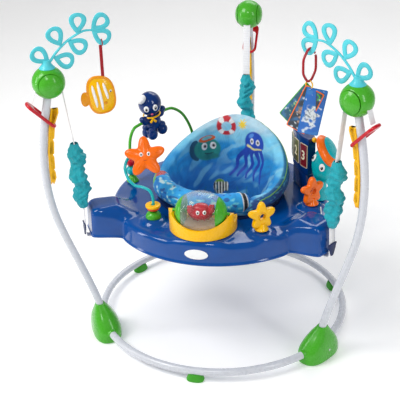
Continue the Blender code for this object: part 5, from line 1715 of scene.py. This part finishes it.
def build_turtle():
    """A teal head looking at the seat, with an orange shell cap and its teal plate at the back."""
    centre, low = from_ring(*TURTLE_CENTRE), PLAY_HEIGHT + 0.0003
    facing = (Vector((0.80, -0.14, 0.50))).normalized()
    cap_at = aimed(centre + Vector((0.010, -0.014, 0.052)), facing,
                   (0, 0, 1)) @ Matrix.Diagonal((1.08, 0.94, 1, 1))
    head = [ball((0.0395, 0.0335, 0.0550)), ball((0.024, 0.026, 0.030), (-0.012, -0.004, -0.016)),
            ball((0.030, 0.030, 0.026), (0.006, -0.006, 0.028))]
    shapes = [blob([lump.moved(Matrix.Translation(centre)) for lump in head], TEAL, 0.0020, 6)]
    rim = [(0, 0.0150), (0.018, 0.0142), (0.030, 0.0110), (0.040, 0.0055), (0.0462, -0.0005),
           (0.0470, -0.0050),
           (0.0440, -0.0100), (0.034, -0.0135), (0, -0.0160)]
    plate_line = [(0, 0.0178), (0.012, 0.0176), (0.0240, 0.0160), (0.0290, 0.0136), (0.0300, 0.0110),
                  (0, 0.0100)]
    shapes.append(lathe([tuple(p) for p in smooth([Vector(p) for p in rim], 3)], cap_at, ORANGE, 56))
    shapes.append(lathe([tuple(p) for p in smooth([Vector(p) for p in plate_line], 3)],
                        cap_at @ Matrix.Translation((0.004, 0, 0)), TEAL, 48))
    post = [(0.0165, centre.z - 0.02), (0.0175, 0.470), (0.0215, low + 0.006), (0.0222, low), (0, low)]
    shapes.append(lathe(post, Matrix.Translation((centre.x - 0.012, centre.y, 0)), TEAL, 40))
    toward = Vector((-0.55, -0.80, 0.22)).normalized()
    across = Vector((-toward.y, toward.x, 0)).normalized()
    for turn in (-1, 1):
        direction = (toward + across * 0.50 * turn + Vector((0, 0, -0.25 * turn + 0.15))).normalized()
        spot = Vector((direction.x * 0.0395, direction.y * 0.0335, direction.z * 0.0550)) * 1.01
        shapes += eye(centre + spot, direction, 0.0085, (0, 0, 1), 1.4)
    knob = from_ring(0.275, 0.030, 0.589)
    shapes += [ball(0.0075, knob, None, YELLOW, 24), tube([knob, knob + Vector((0.020, -0.008, -0.012))],
                                                          0.0034, YELLOW, 12)]
    piece("turtle_toy", shapes, "tray", "teal_plastic", ["piano_turtle"])


# Hanging toys


def hang_frame(azimuth):
    """X outward, Y tangential, Z up, on the rim of the leaf loop that the toy hangs on."""
    return around(azimuth) @ Matrix.Translation((HOOK_LOOP[0], 0, HOOK_LOOP[1]))


def circle(radius, count=40):
    return [(radius * math.cos(math.tau * i / count),
             radius * math.sin(math.tau * i / count)) for i in range(count)]


def build_fish():
    """A flat yellow fish with pale stripes and a raised edge, on a dark red strap. Its head points
    inward."""
    at = hang_frame(LEGS["front_left"])
    ring = tube([(0, a, b) for a, b in circle(0.0085)], 0.0014, DARK_RED, 10, closed=True, matrix=at)
    strap = rounded_box((0.0090, 0.0028, 0.092), (0.004, 0, -0.0530), at, DARK_RED_WEBBING, 0.0010)
    face = at @ Matrix.Translation((0.012, 0, -0.148)) @ Matrix.Rotation(math.pi / 2, 4, "X")
    body = []
    for a in (math.tau * i / 96 for i in range(96)):
        across = math.copysign(abs(math.cos(a)) ** 0.74, math.cos(a))
        up = math.copysign(abs(math.sin(a)) ** 0.74, math.sin(a))
        body.append((0.0370 * across + 0.005 * up, 0.0535 * up * (1 + 0.06 * across)))
    shapes = [ring, strap, puffy(body, 0.0230, face, YELLOW, 0.42, rings=14)]
    edge = [face @ Vector((x * 0.955, y * 0.955, 0)) for x, y in body]
    shapes.append(tube(edge, 0.0046, YELLOW_DEEP, 14, closed=True))
    tail = [(0.0145 * math.cos(a),
             0.0205 * math.sin(a) * (1 + 0.18 * math.cos(a)))
             for a in (math.tau * i / 60 for i in range(60))]
    shapes.append(puffy(tail, 0.0120, face @ Matrix.Translation((0.0430, -0.008, 0)), YELLOW_DEEP, 0.55))
    for side in (-1, 1):
        for x, reach, drop in ((0.0200, 0.0320, 0.000), (0.0045, 0.0400, 0.0), (-0.0110, 0.0240, 0.012)):
            line = [face @ Vector((x + 0.0022 * math.sin(1.6 * t) + 0.003 * t, drop + reach * t,
                                   side * (0.0106 - 0.0030 * t * t)))
                    for t in (-1, -0.75, -0.5, -0.25, 0, 0.25, 0.5, 0.75, 1)]
            shapes.append(tube(line, [0.0018, 0.0044, 0.0050, 0.0052, 0.0052, 0.0052, 0.0050, 0.0044,
                                      0.0018], EYE_WHITE, 12, flat=0.8))
        spot = face @ Vector((-0.0250, 0.010, side * 0.0068))
        shapes += eye(spot, face.to_3x3() @ Vector((-0.35, 0.0, side)), 0.0042,
                      face.to_3x3() @ Vector((0, 1, 0)), 1.1)
        fin = [face @ Vector((-0.012 + 0.006 * t, -0.018 - 0.006 * t,
                              side * (0.0100 - 0.0012 * t))) for t in (0, 0.5, 1)]
        shapes.append(tube(fin, [0.0030, 0.0048, 0.0022], YELLOW_DEEP, 12))
    piece("hanging_fish", shapes, "fish", "yellow_plastic", ["toy_fish"])


def build_cards():
    """An open red link, a small yellow ring and three picture cards."""
    at = hang_frame(LEGS["front_right"])
    hexagon = [(0.007, 0.001), (0.026, -0.022), (0.027, -0.064), (0.008, -0.087), (-0.008, -0.087),
               (-0.027, -0.062),
               (-0.027, -0.022), (-0.007, 0.001)]
    line = [(0, y, z + 0.0085) for y, z in evenly(smooth_corners(hexagon, 0.009), 72)]
    gap_at = 10
    opened = line[gap_at + 1:] + line[:gap_at]
    ends = [0.0026, 0.0034] + [0.0034] * (len(opened) - 4) + [0.0034, 0.0026]
    ring_at = at @ Matrix.Translation((0, 0, -0.0885))
    shapes = [tube(opened, ends, DARK_RED, 16, matrix=at)]
    shapes.append(tube([(a, 0, b) for a, b in circle(0.0110)], 0.0017, YELLOW, 12, closed=True,
                       matrix=ring_at))
    looks = ((96, 11, -0.0045, -0.022, CARD_BLUE_EDGE), (82, 24, 0.0, -0.016, ORANGE),
             (70, 38, 0.0045, -0.010, GREEN))
    faces = []
    for number, (turn, lean, depth, middle, edge) in enumerate(looks):
        card_at = ring_at @ Matrix.Translation((0, 0,
                                                -0.0105)) @ Matrix.Rotation(math.radians(turn - 330), 4,
                                                    "Z")
        card_at = card_at @ Matrix.Rotation(math.radians(lean), 4,
                                            "X") @ Matrix.Translation((depth, middle, -0.060))
        card_at = card_at @ FACE_TURN
        outline = rounded_rectangle(0.028, 0.065, 0.0040, count=6)
        shapes.append(plate([outline], 0.0030, card_at, edge, 0.0008))
        grommet = lathe([(0.0020, 0.0022), (0.0034, 0.0020), (0.0036, -0.0020), (0.0020, -0.0022)],
                        card_at @ Matrix.Translation((-middle * 0.9, 0.0595, 0)), edge, 24, closed=True)
        shapes.append(grommet)
        faces.append((number, card_at))
    piece("link_and_cards", shapes, "cards", "card_blue", ["toy_cards"])
    for number, card_at in faces:
        build_card_picture(number, card_at)


def build_card_picture(number, card_at):
    """The printed face on each side of a card: water above pale sand, with a shell, a starfish or sea
    grass."""
    rows, half_x, half_y = [], 0.0255, 0.0625
    for side in (-1, 1):
        sheet_rows = []
        for i in range(61):
            y = half_y * (2 * i / 60 - 1)
            pinch = max(abs(y) - (half_y - 0.003), 0)
            sheet_rows.append([(half_x * (2 * j / 24 - 1) * (1 - pinch * 18), y,
                                side * 0.00165) for j in range(25)])
        rows.append(grid(sheet_rows, CARD_PRINT, ring=False, caps=False).moved(card_at))
    face = piece(f"card_picture_{number + 1}", rows)
    back = card_at.inverted()

    def tone(points):
        local = np.array([back @ Vector(point) for point in points])
        u, v = local[:, 0], local[:, 1]
        cloud = dapple(points, 60, number)
        base = np.tile(np.array((colour(16, 104, 196), colour(40, 52, 66), colour(10, 84, 110))[number]),
                       (len(u), 1))
        base = blend_tone(base, colour(60, 140, 204), 0.5 * step(cloud, 0.05, 0.5))
        clump = step(dapple(points, 95, 3.0 + number) + 1.4 * (1 - np.hypot(u / 0.020,
            (v + 0.012) / 0.032)), 0.30, 0.55)
        base = blend_tone(base, (colour(226, 232, 236), colour(150, 120, 104),
                                 colour(40, 128, 120))[number], clump)
        specks = step(dapple(points, 260, 8.0 + number), 0.12, 0.30) * clump
        base = blend_tone(base, (colour(74, 96, 120), colour(226, 190, 160),
                                 colour(200, 220, 120))[number], 0.8 * specks)
        foam = step(dapple(points, 110, 5.0 + number), 0.40, 0.55) * (1 - clump)
        base = blend_tone(base, colour(232, 242, 248), 0.8 * foam)
        return base
    paint(face, tone)
    place(face, "cards", "card_blue")


# Materials and surroundings

build_camera()
WHITE = powder_coat("white_powder_coat", colour(206, 209, 216))
GREEN = plastic("green_moulded", colour(72, 172, 40), 0.26, 0.30, 0.02, 0.06)
GREEN_RUBBER = plastic("green_rubber", colour(66, 160, 44), 0.55, 0.0, 0.12)
YELLOW = plastic("yellow_moulded", colour(252, 190, 0), 0.26, 0.20, 0.015, 0.04)
YELLOW_DEEP = plastic("deep_yellow_moulded", colour(244, 156, 4), 0.32, 0.25)
RED = plastic("red_moulded", colour(196, 10, 34), 0.26, 0.3)
DARK_RED = plastic("dark_red_moulded", colour(168, 12, 30), 0.30, 0.3)
ORANGE = plastic("orange_moulded", colour(252, 112, 12), 0.28, 0.25, 0.02, 0.06)
ORANGE_RED = plastic("orange_red_moulded", colour(232, 66, 20), 0.32, 0.25)
DARK_ORANGE = plastic("dark_orange_moulded", colour(190, 60, 20), 0.40, 0.1)
AQUA = plastic("aqua_moulded", colour(84, 204, 216), 0.36, 0.15)
TEAL = plastic("teal_moulded", colour(0, 178, 186), 0.26, 0.35)
NAVY = plastic("navy_moulded", colour(10, 36, 88), 0.42, 0.1)
ROYAL = plastic("royal_blue_moulded", colour(0, 46, 112), 0.14, 0.4)
BLUE_GLOSS = plastic("tray_blue_gloss", colour(0, 72, 148), 0.10, 0.35, 0.012, 0.08)
BLUE_SATIN = plastic("tray_blue_satin", colour(0, 56, 130), 0.42, 0.0, 0.08)
WHITE_PLASTIC = plastic("white_moulded", colour(240, 240, 240), 0.32, 0.3, 0.03, 0.05)
CREAM = plastic("cream_print", colour(240, 228, 196), 0.42, 0.1, 0.03, 0.08)
PINK = plastic("pink_moulded", colour(236, 96, 140), 0.35, 0.2)
KEY_RED = plastic("key_dark_red", colour(120, 18, 24), 0.30, 0.4)
KEY_OLIVE = plastic("key_olive", colour(96, 92, 28), 0.30, 0.4)
KEY_GREEN = plastic("key_dark_green", colour(20, 74, 40), 0.30, 0.4)
CARD_BLUE_EDGE = plastic("card_blue_edge", colour(24, 110, 190), 0.42, 0.2)
EYE_WHITE = plastic("eye_white", colour(246, 246, 246), 0.16, 0.6, 0.01, 0.03)
EYE_BLACK = plastic("eye_black", colour(14, 14, 18), 0.14, 0.6, 0.01, 0.05)
STEEL = steel("spring_steel_wire")
WEBBING = cloth("white_webbing_weave", colour(244, 244, 246), 330, 0.8, 0.10, 0.04, 120, 0.25)
DARK_RED_WEBBING = cloth("dark_red_webbing_weave", colour(168, 14, 30), 330, 0.8, 0.1, 0.04, 120, 0.4)
TEAL_FABRIC = cloth("teal_gathered_cloth", colour(0, 170, 184), 240, 0.62, 0.08, 0.30, 70, 0.6)
PIPING_GREEN = cloth("green_piping", colour(110, 180, 60), 330, 0.8, 0.3, 0.05)
PIPING_BLUE = cloth("blue_piping", colour(30, 120, 190), 330, 0.8, 0.3, 0.05)
# the seat's cloth: print, with painted glints and painted shade on the outside flank
SEAT_CLOTH_PRINT_AND_PAINTED_LIGHT = printed_cloth("seat_cloth_print_and_painted_light")
CLEAR = clear_plastic("clear_window_plastic")
SAND = sand_grains("toy_sand")
CARD_PRINT = painted("card_print")


def build_stage():
    """A pale floor that curves up behind, a large soft light above, and two softer ones at the sides."""
    made = Shader("floor_paper")
    made.link(made.mix(made.noise(6, 3), colour(246, 246, 247), colour(252, 252, 252)), "Base Color")
    made.set(Roughness=0.9, Specular_IOR_Level=0.1, Emission_Color=(1, 1, 1, 1), Emission_Strength=0.16)
    line = [(-4.0, 0.0), (3.2, 0.0)]
    line += [(3.2 + 1.2 * math.sin(a),
              1.2 - 1.2 * math.cos(a)) for a in (math.pi / 2 * i / 12 for i in range(1, 13))]
    line.append((4.4, 5.0))
    rows = [[(x, y, z) for y, z in line] for x in (-7.0, 7.0)]
    floor = piece("floor", grid(rows, made.material, ring=False, caps=False))
    floor.location.z = -0.0005
    lights = (  # place, target, width, height, power, colour
        ((-1.9, -1.5, 2.9), (0, 0, 0.3), 1.5, 1.5, 68, (1.0, 0.99, 0.97)),
        ((2.2, -1.7, 1.7), (0, 0, 0.4), 0.40, 1.7, 20, (0.97, 0.98, 1.0)),
        ((-2.4, -0.9, 1.1), (0, 0, 0.4), 0.30, 1.5, 13, (1, 1, 1)),
        ((0.2, 2.2, 3.0), (0, 0, 0.5), 2.4, 1.4, 38, (1, 1, 1)),
        ((0.1, -2.6, 2.6), (0, 0, 0.3), 0.5, 0.5, 14, (1, 1, 1)),
    )
    for number, (spot, target, width, height, power, tone) in enumerate(lights):
        data = bpy.data.lights.new(f"soft_light_{number + 1}", "AREA")
        data.shape, data.size, data.size_y = "RECTANGLE", width, height
        data.energy, data.color = power, tone
        lamp = bpy.data.objects.new(data.name, data)
        spot = Vector(spot)
        lamp.matrix_world = Matrix.Translation(spot) @ (Vector(target) - spot).to_track_quat("-Z",
            "Y").to_matrix().to_4x4()
        bpy.context.scene.collection.objects.link(lamp)
    world = bpy.data.worlds.new("studio")
    world.use_nodes = True
    world.node_tree.nodes["Background"].inputs[0].default_value = (1, 1, 1, 1)
    world.node_tree.nodes["Background"].inputs[1].default_value = 0.26
    bpy.context.scene.world = world
    bpy.context.scene.view_settings.view_transform = "Standard"


build_stage()
build_base()
build_balls()
build_leaves()
build_handles()
build_suspension()
build_tray()
build_seat()
build_drum()
build_posts()
build_stalk()
build_arch()
build_piano()
build_fish()
build_cards()
